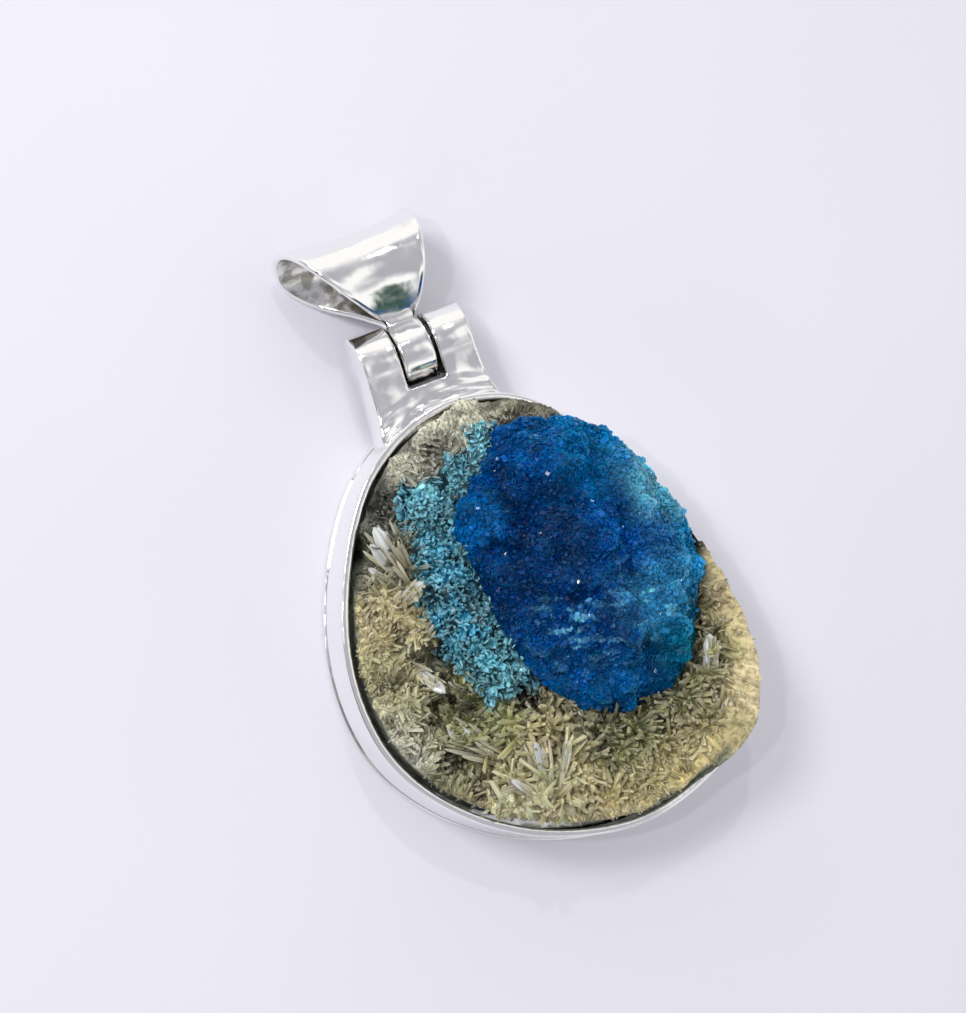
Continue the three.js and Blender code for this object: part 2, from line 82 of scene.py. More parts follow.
class NodeTree:
    """A node tree that is filled by short calls."""

    def __init__(self, tree: bpy.types.NodeTree) -> None:
        """Starts with an empty tree."""
        self.tree = tree
        self.tree.nodes.clear()

    @staticmethod
    def socket(sockets: Any, key: int | str) -> bpy.types.NodeSocket:
        """Finds a socket.

        Args:
            sockets: a node's inputs or outputs.
            key: the socket's place, its identifier or its name.

        Returns:
            The socket, the first one in use where several share a name.
        """
        if isinstance(key, int):
            return sockets[key]
        by_identifier = [one for one in sockets if one.identifier == key]
        by_name = [one for one in sockets if one.name == key and one.enabled]
        return (by_identifier + by_name)[0]

    def add(self, kind: str, inputs: dict | None = None, **settings: Any) -> bpy.types.Node:
        """Adds a node.

        Args:
            kind: the node's type.
            inputs: values or output sockets for its inputs, by place, identifier or name.
            settings: the node's own properties.

        Returns:
            The new node.
        """
        node = self.tree.nodes.new(kind)
        for name, value in settings.items():
            setattr(node, name, value)
        for key, value in (inputs or {}).items():
            target = self.socket(node.inputs, key)
            if isinstance(value, bpy.types.NodeSocket):
                self.tree.links.new(value, target)
            else:
                target.default_value = value
        return node

    def out(
        self, kind: str, inputs: dict | None = None, result: int | str = 0, **settings: Any
    ) -> bpy.types.NodeSocket:
        """Adds a node and returns one of its outputs."""
        return self.socket(self.add(kind, inputs, **settings).outputs, result)


class ShaderTree(NodeTree):
    """A material's tree, whose patterns are laid out in millimetres."""

    def __init__(self, material: bpy.types.Material) -> None:
        """Starts the material's tree with its coordinates.

        Args:
            material: the material to fill.
        """
        material.use_nodes = True
        super().__init__(material.node_tree)
        place = self.out("ShaderNodeTexCoord", result="Object")
        self.place = self.out(
            "ShaderNodeVectorMath", {0: place, "Scale": PER_METRE}, operation="SCALE"
        )

    def noise(
        self, scale: float, detail: float = 3.0,
        stretch: tuple | None = None, warp: float = 0.0, place: Any = None,
    ) -> bpy.types.NodeSocket:
        """Adds a soft random pattern.

        Args:
            scale: how many features there are to a millimetre.
            detail: how many finer layers it has.
            stretch: factors for each axis, where the pattern is drawn out.
            warp: how much it is twisted.
            place: the coordinates, where they aren't the object's own.

        Returns:
            Its value, from 0 to 1.
        """
        place = place or self.place
        if stretch:
            place = self.out("ShaderNodeVectorMath", {0: place, 1: stretch}, operation="MULTIPLY")
        values = {"Vector": place, "Scale": scale, "Detail": detail, "Distortion": warp}
        return self.out("ShaderNodeTexNoise", values)

    def ramp(
        self, value: Any, start: float, end: float, low: float = 0.0, high: float = 1.0
    ) -> bpy.types.NodeSocket:
        """Maps a range of a value to another, with an even slope and no overshoot."""
        values = {"Value": value, "From Min": start, "From Max": end, "To Min": low, "To Max": high}
        return self.out("ShaderNodeMapRange", values)

    def mix(self, share: Any, first: Any, second: Any, blend: str = "MIX") -> bpy.types.NodeSocket:
        """Mixes two colours.

        Args:
            share: how much of the second shows.
            first: a colour or a socket.
            second: a colour or a socket.
            blend: how they are mixed.

        Returns:
            The mixed colour.
        """
        values = {
            "Factor_Float": share,
            "A_Color": first if isinstance(first, bpy.types.NodeSocket) else (*first, 1.0),
            "B_Color": second if isinstance(second, bpy.types.NodeSocket) else (*second, 1.0),
        }
        return self.out("ShaderNodeMix", values, "Result_Color", data_type="RGBA", blend_type=blend)

    def attribute(self, name: str, result: str = "Fac") -> bpy.types.NodeSocket:
        """Reads an attribute of the mesh."""
        return self.out("ShaderNodeAttribute", result=result, attribute_name=name)

    def bump(self, height: Any, depth: float, under: Any = None) -> bpy.types.NodeSocket:
        """Raises a fine pattern from the surface.

        Args:
            height: the pattern, from 0 to 1.
            depth: how deep it is, in millimetres.
            under: the relief that it is laid over.

        Returns:
            The bent normal.
        """
        values = {"Height": height, "Strength": 1.0, "Distance": depth * MM}
        if under:
            values["Normal"] = under
        return self.out("ShaderNodeBump", values)

    def surface(self, values: dict) -> None:
        """Ends the tree in one Principled surface."""
        shader = self.out("ShaderNodeBsdfPrincipled", values)
        self.add("ShaderNodeOutputMaterial", {"Surface": shader})


# Finishes

@dataclass(frozen=True)
class SilverFinish:
    """Silver polished by hand, tarnished where the mesh's own attribute says so."""

    name: str = "polished_silver"
    metal: Colour = (0.94, 0.93, 0.92)
    tarnish: Colour = (0.17, 0.16, 0.10)
    glossiest: float = 0.06
    dullest: float = 0.18
    tarnished: float = 0.35
    patch_scale: float = 1.1
    patch_ramp: tuple[float, ...] = (0.42, 0.62, 0.35, 1.4)
    polish_scale: float = 0.8
    polish_range: Pair = (0.35, 0.7)
    scratch_scale: float = 9.0
    scratch_stretch: tuple[float, float, float] = (1.0, 0.08, 1.0)
    scratch_depth: float = 0.0015
    ripple_scale: float = 0.5
    ripple: float = 0.05

    def make(self) -> bpy.types.Material:
        """Builds the material."""
        material = bpy.data.materials.new(self.name)
        tree = ShaderTree(material)
        dark = tree.attribute("tarnish")
        patches = tree.ramp(tree.noise(self.patch_scale, 4.0), *self.patch_ramp)
        patchy = tree.out("ShaderNodeMath", {0: dark, 1: patches}, operation="MULTIPLY", use_clamp=True)
        polish = tree.ramp(
            tree.noise(self.polish_scale), *self.polish_range, self.glossiest, self.dullest
        )
        dulled = tree.ramp(patchy, 0.0, 1.0, 0.0, self.tarnished)
        scratches = tree.noise(self.scratch_scale, 4.0, stretch=self.scratch_stretch)
        ripple = tree.bump(tree.noise(self.ripple_scale, 2.0), self.ripple)
        tree.surface({
            "Base Color": tree.mix(patchy, self.metal, self.tarnish),
            "Metallic": 1.0,
            "Roughness": tree.out("ShaderNodeMath", {0: polish, 1: dulled}, operation="MAXIMUM"),
            "Normal": tree.bump(scratches, self.scratch_depth, ripple),
        })
        return material


@dataclass(frozen=True)
class BodyFinish:
    """The body of a stone under its crystals, in the colour painted on its mesh."""

    name: str
    grain: float = 2.6
    relief: float = 0.12
    roughness: float = 0.45
    shine: float = 0.4
    glow: float = 0.0
    fibres: float = 0.0
    fibre_relief: float = 0.12
    glow_depth: float = 0.6
    speck: Colour = (0.5, 0.48, 0.42)
    strand: Colour = (1.25, 1.22, 1.15)
    speckle_range: Pair = (0.38, 0.62)
    strand_range: Pair = (0.45, 0.7)

    def make(self) -> bpy.types.Material:
        """Builds the material."""
        material = bpy.data.materials.new(self.name)
        tree = ShaderTree(material)
        ground = tree.attribute("ground", "Color")
        speckle = tree.ramp(tree.noise(self.grain, 5.0, warp=0.6), *self.speckle_range)
        darker = tree.mix(1.0, ground, self.speck, "MULTIPLY")
        fine = tree.bump(tree.noise(3.0 * self.grain, 4.0), 0.5 * self.relief)
        colour = tree.mix(speckle, darker, ground)
        if self.fibres:
            strands = tree.noise(1.0, 3.0, warp=0.4, place=tree.attribute("fibre", "Vector"))
            pale = tree.mix(1.0, ground, self.strand, "MULTIPLY")
            share = tree.ramp(strands, *self.strand_range, 0.0, self.fibres)
            colour = tree.mix(share, colour, pale)
            fine = tree.bump(strands, self.fibre_relief, fine)
        tree.surface({
            "Base Color": colour,
            "Roughness": self.roughness,
            "Specular IOR Level": self.shine,
            "Subsurface Weight": self.glow,
            "Subsurface Scale": self.glow_depth * MM,
            "Subsurface Radius": (1.0, 1.0, 1.0),
            "Normal": tree.bump(tree.noise(self.grain, 4.0), self.relief, fine),
        })
        return material


@dataclass(frozen=True)
class CrystalFinish:
    """Small crystals, in the ground's colour, with painted shade darkening them towards the root, and
    paler at the tip.
    """

    name: str
    # Painted shade: how bright each crystal's root is, where it goes down among the others.
    root: float
    tip: Colour
    tip_share: float
    clear: float
    roughness: float
    refraction: float
    variety: Pair = (0.75, 1.3)
    shine: float = 0.5
    glow: float = 0.0
    glow_depth: float = 0.4
    relief: float = 0.02
    streaks: float = 0.25
    lanes: float = 30.0
    strand_scale: float = 5.0
    strand_range: Pair = (0.4, 0.62)
    root_shade_end: float = 0.6
    tip_start: float = 0.45

    def lane(self, tree: ShaderTree, own: Any) -> bpy.types.NodeSocket:
        """Gives each crystal its own part of the pattern that runs along it.

        Args:
            tree: the material's tree.
            own: the crystal's own random number.

        Returns:
            The pattern's coordinates.
        """
        shift = tree.out("ShaderNodeCombineXYZ", {2: tree.ramp(own, 0.0, 1.0, 0.0, self.lanes)})
        values = {0: tree.attribute("fibre", "Vector"), 1: shift}
        return tree.out("ShaderNodeVectorMath", values, operation="ADD")

    def make(self) -> bpy.types.Material:
        """Builds the material."""
        material = bpy.data.materials.new(self.name)
        tree = ShaderTree(material)
        ground = tree.attribute("ground", "Color")
        along = tree.attribute("along")
        own = tree.attribute("tint")
        tint = tree.ramp(own, 0.0, 1.0, *self.variety)
        # Painted shade: each crystal darkens towards its root.
        depth = tree.ramp(along, 0.0, self.root_shade_end, self.root, 1.0)
        strands = tree.noise(self.strand_scale, 2.0, place=self.lane(tree, own))
        stripes = (1.0 - self.streaks, 1.0 + 0.6 * self.streaks)
        striped = tree.ramp(strands, *self.strand_range, *stripes)
        light = tree.out("ShaderNodeMath", {0: tint, 1: depth}, operation="MULTIPLY")
        light = tree.out("ShaderNodeMath", {0: light, 1: striped}, operation="MULTIPLY")
        body = tree.out("ShaderNodeVectorMath", {0: ground, "Scale": light}, operation="SCALE")
        pale = tree.ramp(along, self.tip_start, 1.0, 0.0, self.tip_share)
        tree.surface({
            "Base Color": tree.mix(pale, body, self.tip),
            "Roughness": self.roughness,
            "IOR": self.refraction,
            "Specular IOR Level": self.shine,
            "Transmission Weight": self.clear,
            "Subsurface Weight": self.glow,
            "Subsurface Scale": self.glow_depth * MM,
            "Subsurface Radius": (1.0, 1.0, 1.0),
            "Normal": tree.bump(strands, self.relief),
        })
        return material


@dataclass(frozen=True)
class FloorFinish:
    """A plain pale floor."""

    name: str = "pale_floor"
    colour: Colour = (0.80, 0.79, 0.86)
    shaded: float = 0.97
    roughness: float = 0.55

    def make(self) -> bpy.types.Material:
        """Builds the material."""
        material = bpy.data.materials.new(self.name)
        tree = ShaderTree(material)
        shade = tree.ramp(tree.noise(0.02, 2.0), 0.3, 0.7)
        darker = tuple(self.shaded * part for part in self.colour)
        tree.surface({
            "Base Color": tree.mix(shade, self.colour, darker),
            "Roughness": self.roughness,
        })
        return material


# Meshes

def smoothstep(value: np.ndarray | float, start: float, end: float) -> np.ndarray | float:
    """Rises smoothly from 0 to 1 between two values."""
    share = np.clip((value - start) / (end - start), 0.0, 1.0)
    return share * share * (3.0 - 2.0 * share)


def noise_at(points: np.ndarray, scale: float, seed: float = 0.0) -> np.ndarray:
    """Samples a soft random field."""
    shift = Vector((seed, 2.0 * seed, 3.0 * seed))
    return np.array([noise.noise(Vector(point) * scale + shift) for point in points])


def layered(points: np.ndarray, layers: Layers) -> np.ndarray:
    """Adds up soft random fields."""
    return sum(strength * noise_at(points, scale, seed) for strength, scale, seed in layers)


def bent(start: Any, bend: Any, end: Any, share: Any) -> Any:
    """Gives places along a curve that leans towards a bend on its way."""
    return (1 - share) ** 2 * start + 2 * share * (1 - share) * bend + share ** 2 * end


def mesh_from(vertices: np.ndarray, faces: list) -> bpy.types.Mesh:
    """Makes a mesh whose faces point outwards.

    Args:
        vertices: the corners, in millimetres.
        faces: the corners of each face.

    Returns:
        The mesh, still in millimetres.
    """
    mesh = bpy.data.meshes.new("shape")
    mesh.from_pydata([tuple(corner) for corner in vertices], [], faces)
    shape = bmesh.new()
    shape.from_mesh(mesh)
    bmesh.ops.recalc_face_normals(shape, faces=shape.faces)
    shape.to_mesh(mesh)
    shape.free()
    return mesh


def skin(loops: np.ndarray, ring: bool) -> bpy.types.Mesh:
    """Joins loops of equally many corners into one closed surface.

    Args:
        loops: the loops' corners, as an array of loops by corners by three.
        ring: whether the last loop joins the first; otherwise both ends are closed with a fan.

    Returns:
        The mesh.
    """
    count, size = loops.shape[:2]
    faces = []
    for i in range(count if ring else count - 1):
        low, high = i * size, (i + 1) % count * size
        for j in range(size):
            k = (j + 1) % size
            faces.append((low + j, low + k, high + k, high + j))
    vertices = loops.reshape(-1, 3)
    if not ring:
        first, last = len(vertices), (count - 1) * size
        vertices = np.vstack([vertices, loops[0].mean(axis=0), loops[-1].mean(axis=0)])
        for j in range(size):
            k = (j + 1) % size
            faces += [(first, k, j), (first + 1, last + j, last + k)]
    return mesh_from(vertices, faces)


def evaluated(mesh: bpy.types.Mesh, add_modifiers: Any) -> bpy.types.Mesh:
    """Runs modifiers on a mesh.

    Args:
        mesh: the mesh to change.
        add_modifiers: a function that adds them to the object it is given.

    Returns:
        The changed mesh, with its own attributes kept.
    """
    probe = bpy.data.objects.new("probe", mesh)
    bpy.context.scene.collection.objects.link(probe)
    add_modifiers(probe)
    graph = bpy.context.evaluated_depsgraph_get()
    result = bpy.data.meshes.new_from_object(
        probe.evaluated_get(graph), preserve_all_data_layers=True, depsgraph=graph
    )
    bpy.data.objects.remove(probe)
    return result


def carved(mesh: bpy.types.Mesh, cutters: list[bpy.types.Mesh]) -> bpy.types.Mesh:
    """Cuts closed shapes out of a mesh.

    Args:
        mesh: what is cut.
        cutters: what is taken away.

    Returns:
        The rest.
    """
    tools = [bpy.data.objects.new("cutter", cutter) for cutter in cutters]
    for tool in tools:
        bpy.context.scene.collection.objects.link(tool)

    def cut(probe: bpy.types.Object) -> None:
        """Adds a cut for each tool."""
        for tool in tools:
            step = probe.modifiers.new("cut", "BOOLEAN")
            step.operation = "DIFFERENCE"
            step.solver = "EXACT"
            step.object = tool

    result = evaluated(mesh, cut)
    for tool in tools:
        bpy.data.objects.remove(tool)
    return result


def softened(mesh: bpy.types.Mesh, voxel: float, rounds: int) -> bpy.types.Mesh:
    """Makes a mesh even and rounds its edges.

    Args:
        mesh: the mesh to soften.
        voxel: the size of its new faces, in millimetres.
        rounds: how many times it is smoothed.

    Returns:
        The softened mesh.
    """
    def soften(probe: bpy.types.Object) -> None:
        """Adds the even faces and the smoothing."""
        remesh = probe.modifiers.new("even", "REMESH")
        remesh.mode = "VOXEL"
        remesh.voxel_size = voxel
        smooth = probe.modifiers.new("round", "SMOOTH")
        smooth.factor = 0.5
        smooth.iterations = rounds

    return evaluated(mesh, soften)


def lumpy(
    node: str, voxel: float, rounds: int, relief: Layers, swell: float
) -> tuple[bpy.types.Mesh, np.ndarray, np.ndarray]:
    """Softens a node's solid and makes it lumpy.

    Args:
        node: the node's name.
        voxel: the size of the new faces, in millimetres.
        rounds: how many times it is smoothed.
        relief: the lumps.
        swell: how far the whole face moves outwards.

    Returns:
        The mesh, its corners and the directions in which the smooth face faced.
    """
    mesh = softened(node_mesh(node), voxel, rounds)
    corners, normals = corners_of(mesh), normals_of(mesh)
    push = layered(corners, relief) + swell
    corners = corners + normals * push[:, None]
    place_corners(mesh, corners)
    return mesh, corners, normals


def paint(mesh: bpy.types.Mesh, name: str, values: np.ndarray) -> None:
    """Stores a value for each corner of a mesh.

    Args:
        mesh: the mesh to paint.
        name: the attribute's name.
        values: one number, vector or colour for each corner.
    """
    kinds = {1: ("FLOAT", "value"), 3: ("FLOAT_VECTOR", "vector"), 4: ("FLOAT_COLOR", "color")}
    width = 1 if values.ndim == 1 else values.shape[1]
    kind, channel = kinds[width]
    if name in mesh.attributes:
        mesh.attributes.remove(mesh.attributes[name])
    layer = mesh.attributes.new(name, kind, "POINT")
    layer.data.foreach_set(channel, np.ascontiguousarray(values, dtype=np.float32).ravel())


def corners_of(mesh: bpy.types.Mesh) -> np.ndarray:
    """Reads a mesh's corners, as one row each."""
    values = np.zeros(3 * len(mesh.vertices), dtype=np.float32)
    mesh.vertices.foreach_get("co", values)
    return values.reshape(-1, 3).astype(float)


def normals_of(mesh: bpy.types.Mesh) -> np.ndarray:
    """Reads the directions in which a mesh's corners face."""
    values = np.zeros(3 * len(mesh.vertices), dtype=np.float32)
    mesh.vertex_normals.foreach_get("vector", values)
    return values.reshape(-1, 3).astype(float)


def place_corners(mesh: bpy.types.Mesh, corners: np.ndarray) -> None:
    """Moves a mesh's corners to new places."""
    mesh.vertices.foreach_set("co", np.ascontiguousarray(corners, dtype=np.float32).ravel())
    mesh.update()


def node_mesh(node: str) -> bpy.types.Mesh:
    """Copies a node's solid.

    Args:
        node: the node's name.

    Returns:
        A merged copy in millimetres; the node itself stays as it is.
    """
    shape = bmesh.new()
    shape.from_mesh(frame["nodes"][node].data)
    bmesh.ops.scale(shape, vec=(PER_METRE,) * 3, verts=shape.verts)
    bmesh.ops.remove_doubles(shape, verts=shape.verts, dist=0.001)
    mesh = bpy.data.meshes.new("solid")
    shape.to_mesh(mesh)
    shape.free()
    return mesh


def search_tree(mesh: bpy.types.Mesh) -> BVHTree:
    """Readies a mesh for finding its nearest places."""
    shape = bmesh.new()
    shape.from_mesh(mesh)
    tree = BVHTree.FromBMesh(shape)
    shape.free()
    return tree


def distances(corners: np.ndarray, mesh: bpy.types.Mesh) -> np.ndarray:
    """Measures how far places lie from a mesh."""
    tree = search_tree(mesh)
    return np.array([tree.find_nearest(Vector(corner))[3] for corner in corners])


class Shading(Enum):
    """How light runs over a mesh's faces."""

    FLAT = False
    SMOOTH = True


@dataclass(frozen=True)
class Piece:
    """A finished piece: its mesh with its finish, its body and what it stands for."""

    name: str
    mesh: bpy.types.Mesh
    material: bpy.types.Material
    slot: str
    body: str = SETTING
    stands_for: tuple[str, ...] = ()
    shading: Shading = Shading.SMOOTH

    def finish(self) -> bpy.types.Object:
        """Scales the mesh to metres, dresses it, sets it on its body and hides the nodes it stands for.

        Returns:
            The piece's object, at the origin.
        """
        self.mesh.transform(Matrix.Scale(MM, 4))
        self.mesh.name = self.name
        self.mesh.materials.clear()
        self.mesh.materials.append(self.material)
        self.mesh.polygons.foreach_set("use_smooth", [self.shading.value] * len(self.mesh.polygons))
        self.mesh.polygons.foreach_set("material_index", [0] * len(self.mesh.polygons))
        self.mesh.update()
        thing = bpy.data.objects.new(self.name, self.mesh)
        bpy.context.scene.collection.objects.link(thing)
        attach(thing, self.body)
        if self.stands_for:
            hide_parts(*self.stands_for)
        self.mesh.calc_loop_triangles()
        LOG.info("%s: %d triangles", self.name, len(self.mesh.loop_triangles))
        return thing


# The silver setting

@dataclass(frozen=True)
class Outline:
    """A closed outline seen from above, with the direction inwards at each point."""

    points: np.ndarray
    inward: np.ndarray

    @classmethod
    def around(cls, node: str, finer: int) -> "Outline":
        """Reads the outline of a flat plate.

        Args:
            node: the plate's name.
            finer: how many steps each of its sides is rounded with.

        Returns:
            The outline, counter-clockwise from above.
        """
        corners = corners_of(node_mesh(node))
        rim = corners[np.hypot(corners[:, 0], corners[:, 1]) > 5.0][:, :2]
        rim = rim[np.argsort(np.arctan2(rim[:, 1], rim[:, 0]))]
        apart = np.linalg.norm(rim - np.roll(rim, 1, axis=0), axis=1) > 0.3
        points = cls.rounded(rim[apart], finer)
        along = np.roll(points, -1, axis=0) - np.roll(points, 1, axis=0)
        along /= np.linalg.norm(along, axis=1)[:, None]
        return cls(points, np.column_stack([-along[:, 1], along[:, 0]]))

    @staticmethod
    def rounded(knots: np.ndarray, finer: int) -> np.ndarray:
        """Draws a smooth closed curve through points.

        Args:
            knots: the points.
            finer: how many steps there are from one to the next.

        Returns:
            The curve's points.
        """
        before, after, beyond = (np.roll(knots, shift, axis=0) for shift in (1, -1, -2))
        steps = []
        for t in np.arange(finer) / finer:
            steps.append(
                0.5 * (2.0 * knots + (after - before) * t
                       + (2.0 * before - 5.0 * knots + 4.0 * after - beyond) * t ** 2
                       + (3.0 * knots - before - 3.0 * after + beyond) * t ** 3)
            )
        return np.stack(steps, axis=1).reshape(-1, 2)

    def share(self, places: np.ndarray) -> np.ndarray:
        """Tells how far places lie from the middle, as a share of the way to the outline."""
        turns = np.arctan2(self.points[:, 1], self.points[:, 0])
        order = np.argsort(turns)
        reaches = np.hypot(*self.points[order].T)
        sought = np.arctan2(places[:, 1], places[:, 0])
        limit = np.interp(sought, turns[order], reaches, period=2 * math.pi)
        return np.hypot(places[:, 0], places[:, 1]) / limit

    def loop(self, height: float, inset: float | np.ndarray) -> np.ndarray:
        """Gives the outline at a height, moved inwards."""
        flat = self.points + self.inward * np.broadcast_to(inset, len(self.points))[:, None]
        return np.column_stack([flat, np.full(len(flat), height)])


@dataclass
class Cup:
    """The bezel cup: a flat back plate and the wall that leans in to its rim."""

    silver: bpy.types.Material
    lip: float = 0.15
    lean: float = 0.4
    thick: float = 0.7
    plate: float = 0.8
    top: float = 7.0
    edge: float = 0.24
    unevenness: float = 0.035
    outline: Outline = field(default_factory=lambda: Outline.around("back_plate", 5))

    def wall_inset(self, height: float) -> float:
        """Gives how far the wall's outside stands in from the plate's edge at a height."""
        return self.lip + self.lean * (height - self.plate) / (self.top - self.plate)

    def wall_section(self) -> list[tuple[float, float, float]]:
        """Draws the wall's section.

        Returns:
            Its corners, as the inset, the height and how tarnished the silver is.
        """
        shoulder = self.top - self.edge
        section = []
        for height in np.linspace(self.plate, shoulder, 9):
            section.append((self.wall_inset(height), height, 0.0))
        outer = self.wall_inset(self.top)
        for turn in np.linspace(math.pi, 0.0, 13)[1:-1]:
            middle = outer + (self.edge if turn > math.pi / 2 else self.thick - self.edge)
            place = middle + self.edge * math.cos(turn)
            section.append((place, shoulder + self.edge * math.sin(turn), 0.0 if turn > 0.5 else 0.5))
        for height in np.linspace(shoulder, self.plate, 6):
            section.append((self.wall_inset(height) + self.thick, height, 1.0))
        return section

    def wall(self) -> Piece:
        """Makes the wall, a little uneven as hand work is."""
        section = self.wall_section()
        loops, tarnish = [], []
        for inset, height, dark in section:
            loop = self.outline.loop(height, inset)
            push = self.unevenness * noise_at(loop, 0.16, 4.0)
            lift = self.unevenness * noise_at(loop, 0.3, 9.0) * smoothstep(height, 5.5, self.top)
            loop = self.outline.loop(height, inset + push)
            loop[:, 2] += lift - self.unevenness
            loops.append(loop)
            tarnish.append(np.full(len(loop), dark))
        mesh = skin(np.array(loops), ring=True)
        paint(mesh, "tarnish", np.concatenate(tarnish))
        return Piece("cup_wall", mesh, self.silver, "silver", stands_for=("bezel_wall",))

    def back(self) -> Piece:
        """Makes the back plate, with its edge rounded."""
        insets = [(0.12, 0.0), (0.03, 0.04), (0.0, 0.15), (0.0, 0.6), (0.04, 0.74), (0.14, self.plate)]
        loops = np.array([self.outline.loop(height, inset) for inset, height in insets])
        inner = np.array([self.outline.loop(0.0, 0.4), self.outline.loop(self.plate, 1.2)])
        mesh = skin(np.vstack([inner[:1], loops, inner[1:]]), ring=False)
        paint(mesh, "tarnish", np.zeros(len(mesh.vertices)))
        return Piece("cup_plate", mesh, self.silver, "silver", stands_for=("back_plate",))

    def build(self) -> None:
        """Makes the cup's two pieces."""
        self.wall().finish()
        self.back().finish()


@dataclass
class Hinge:
    """The two knuckles on the cup, with the pin that runs through them."""

    silver: bpy.types.Material
    cup: Cup
    barrel: float = 2.9
    barrel_turn: float = math.radians(115.0)
    apron_back: float = -2.4
    apron_front: float = 2.2
    apron_waist: Pair = (-3.0, 1.95)
    foot_at: float = -7.5
    waist_at: float = -2.6
    top_width: float = 10.3
    waist_width: float = 9.9
    foot_width: float = 11.2
    slot_width: float = 3.5
    slot_foot: float = -3.05
    pin_radius: float = 0.7
    pin_length: float = 9.8
    voxel: float = 0.1
    bead: float = 0.35
    unevenness: float = 0.07

    def side(self) -> np.ndarray:
        """Draws the knuckles from the side, about the pin, as pairs of Y and Z."""
        turns = np.linspace(-self.barrel_turn, self.barrel_turn, 73)
        arc = self.barrel * np.column_stack([np.cos(turns), np.sin(turns)])
        start, bend = arc[-1], np.array(self.apron_waist)
        end = np.array([self.foot_at, self.apron_front])
        curve = [bent(start, bend, end, share) for share in np.linspace(0, 1, 25)[1:]]
        back = [np.array([self.foot_at, self.apron_back])]
        return np.vstack([back, arc, curve])

    def half_width(self, along: np.ndarray) -> np.ndarray:
        """Gives half the width at places along the apron, narrowest at the waist."""
        shares = np.linspace(0, 1, 40)
        places = bent(self.foot_at, self.waist_at, self.barrel + 0.5, shares)
        widths = bent(self.foot_width / 2, self.waist_width / 2 - 0.3, self.top_width / 2, shares)
        return np.interp(along, places, widths)

    def box(self, low: tuple, high: tuple) -> bpy.types.Mesh:
        """Makes a box between two corners, about the pin."""
        spans = list(zip(low, high))
        corners = np.array([[x, y, z] for x in spans[0] for y in spans[1] for z in spans[2]])
        faces = [(0, 1, 3, 2), (4, 6, 7, 5), (0, 4, 5, 1), (2, 3, 7, 6), (0, 2, 6, 4), (1, 5, 7, 3)]
        return mesh_from(corners + PIN_AT, faces)

    def knuckles(self) -> Piece:
        """Makes the knuckles and apron as one casting."""
        side = self.side()
        widths = self.half_width(side[:, 0])
        loops = [
            np.column_stack([share * widths, side]) + PIN_AT for share in np.linspace(-1, 1, 9)
        ]
        half = self.slot_width / 2
        slot = self.box((-half, self.slot_foot, -4.0), (half, 5.0, 4.0))
        cup = skin(np.array([
            self.cup.outline.loop(height, self.cup.wall_inset(height) + 0.35) for height in (-1.0, 9.0)
        ]), ring=False)
        mesh = softened(carved(skin(np.array(loops), ring=False), [slot, cup]), self.voxel, 5)
        self.roughen(mesh)
        places = corners_of(mesh) - PIN_AT
        inside = (np.abs(places[:, 0]) < half + 0.12) & (places[:, 1] > self.slot_foot - 0.12)
        below = smoothstep(np.hypot(*places[:, 1:].T), self.barrel - 0.05, self.barrel - 0.4)
        paint(mesh, "tarnish", inside * np.clip(0.35 + below, 0, 1))
        return Piece("knuckles", mesh, self.silver, "silver", stands_for=("hinge_yoke",))

    def roughen(self, mesh: bpy.types.Mesh) -> None:
        """Makes the casting uneven by hand work, with a bead of solder along the cup.

        Args:
            mesh: the casting, which is changed.
        """
        corners, normals = corners_of(mesh), normals_of(mesh)
        facing = smoothstep(normals[:, 2], 0.3, 0.7)
        share = self.cup.outline.share(corners)
        turns = np.arctan2(corners[:, 1], corners[:, 0])
        ridges = noise_at(np.column_stack([26.0 * share, 7.0 * turns, np.zeros(len(share))]), 1.0, 3.0)
        bead = smoothstep(share, 1.09, 1.0) * (0.6 + 0.9 * ridges)
        worn = self.unevenness * noise_at(corners, 0.55, 5.0)
        push = facing * (self.bead * bead + worn)
        place_corners(mesh, corners + normals * push[:, None])

    def pin(self) -> Piece:
        """Makes the pin, with its ends domed like a rivet's."""
        half = self.pin_length / 2
        dome = [(half, 0.25), (half - 0.05, 0.5), (half - 0.2, self.pin_radius)]
        shape = [(-x, radius) for x, radius in dome] + dome[::-1]
        turns = np.linspace(0, 2 * math.pi, 32, endpoint=False)
        loops = []
        for x, radius in shape:
            circle = radius * np.column_stack([np.cos(turns), np.sin(turns)])
            loops.append(np.column_stack([np.full(len(turns), x), circle]) + PIN_AT)
        mesh = skin(np.array(loops), ring=False)
        paint(mesh, "tarnish", np.full(len(mesh.vertices), 0.1))
        return Piece("rivet", mesh, self.silver, "pin", stands_for=("hinge_pin",))

    def build(self) -> None:
        """Makes the hinge's pieces."""
        self.knuckles().finish()
        self.pin().finish()


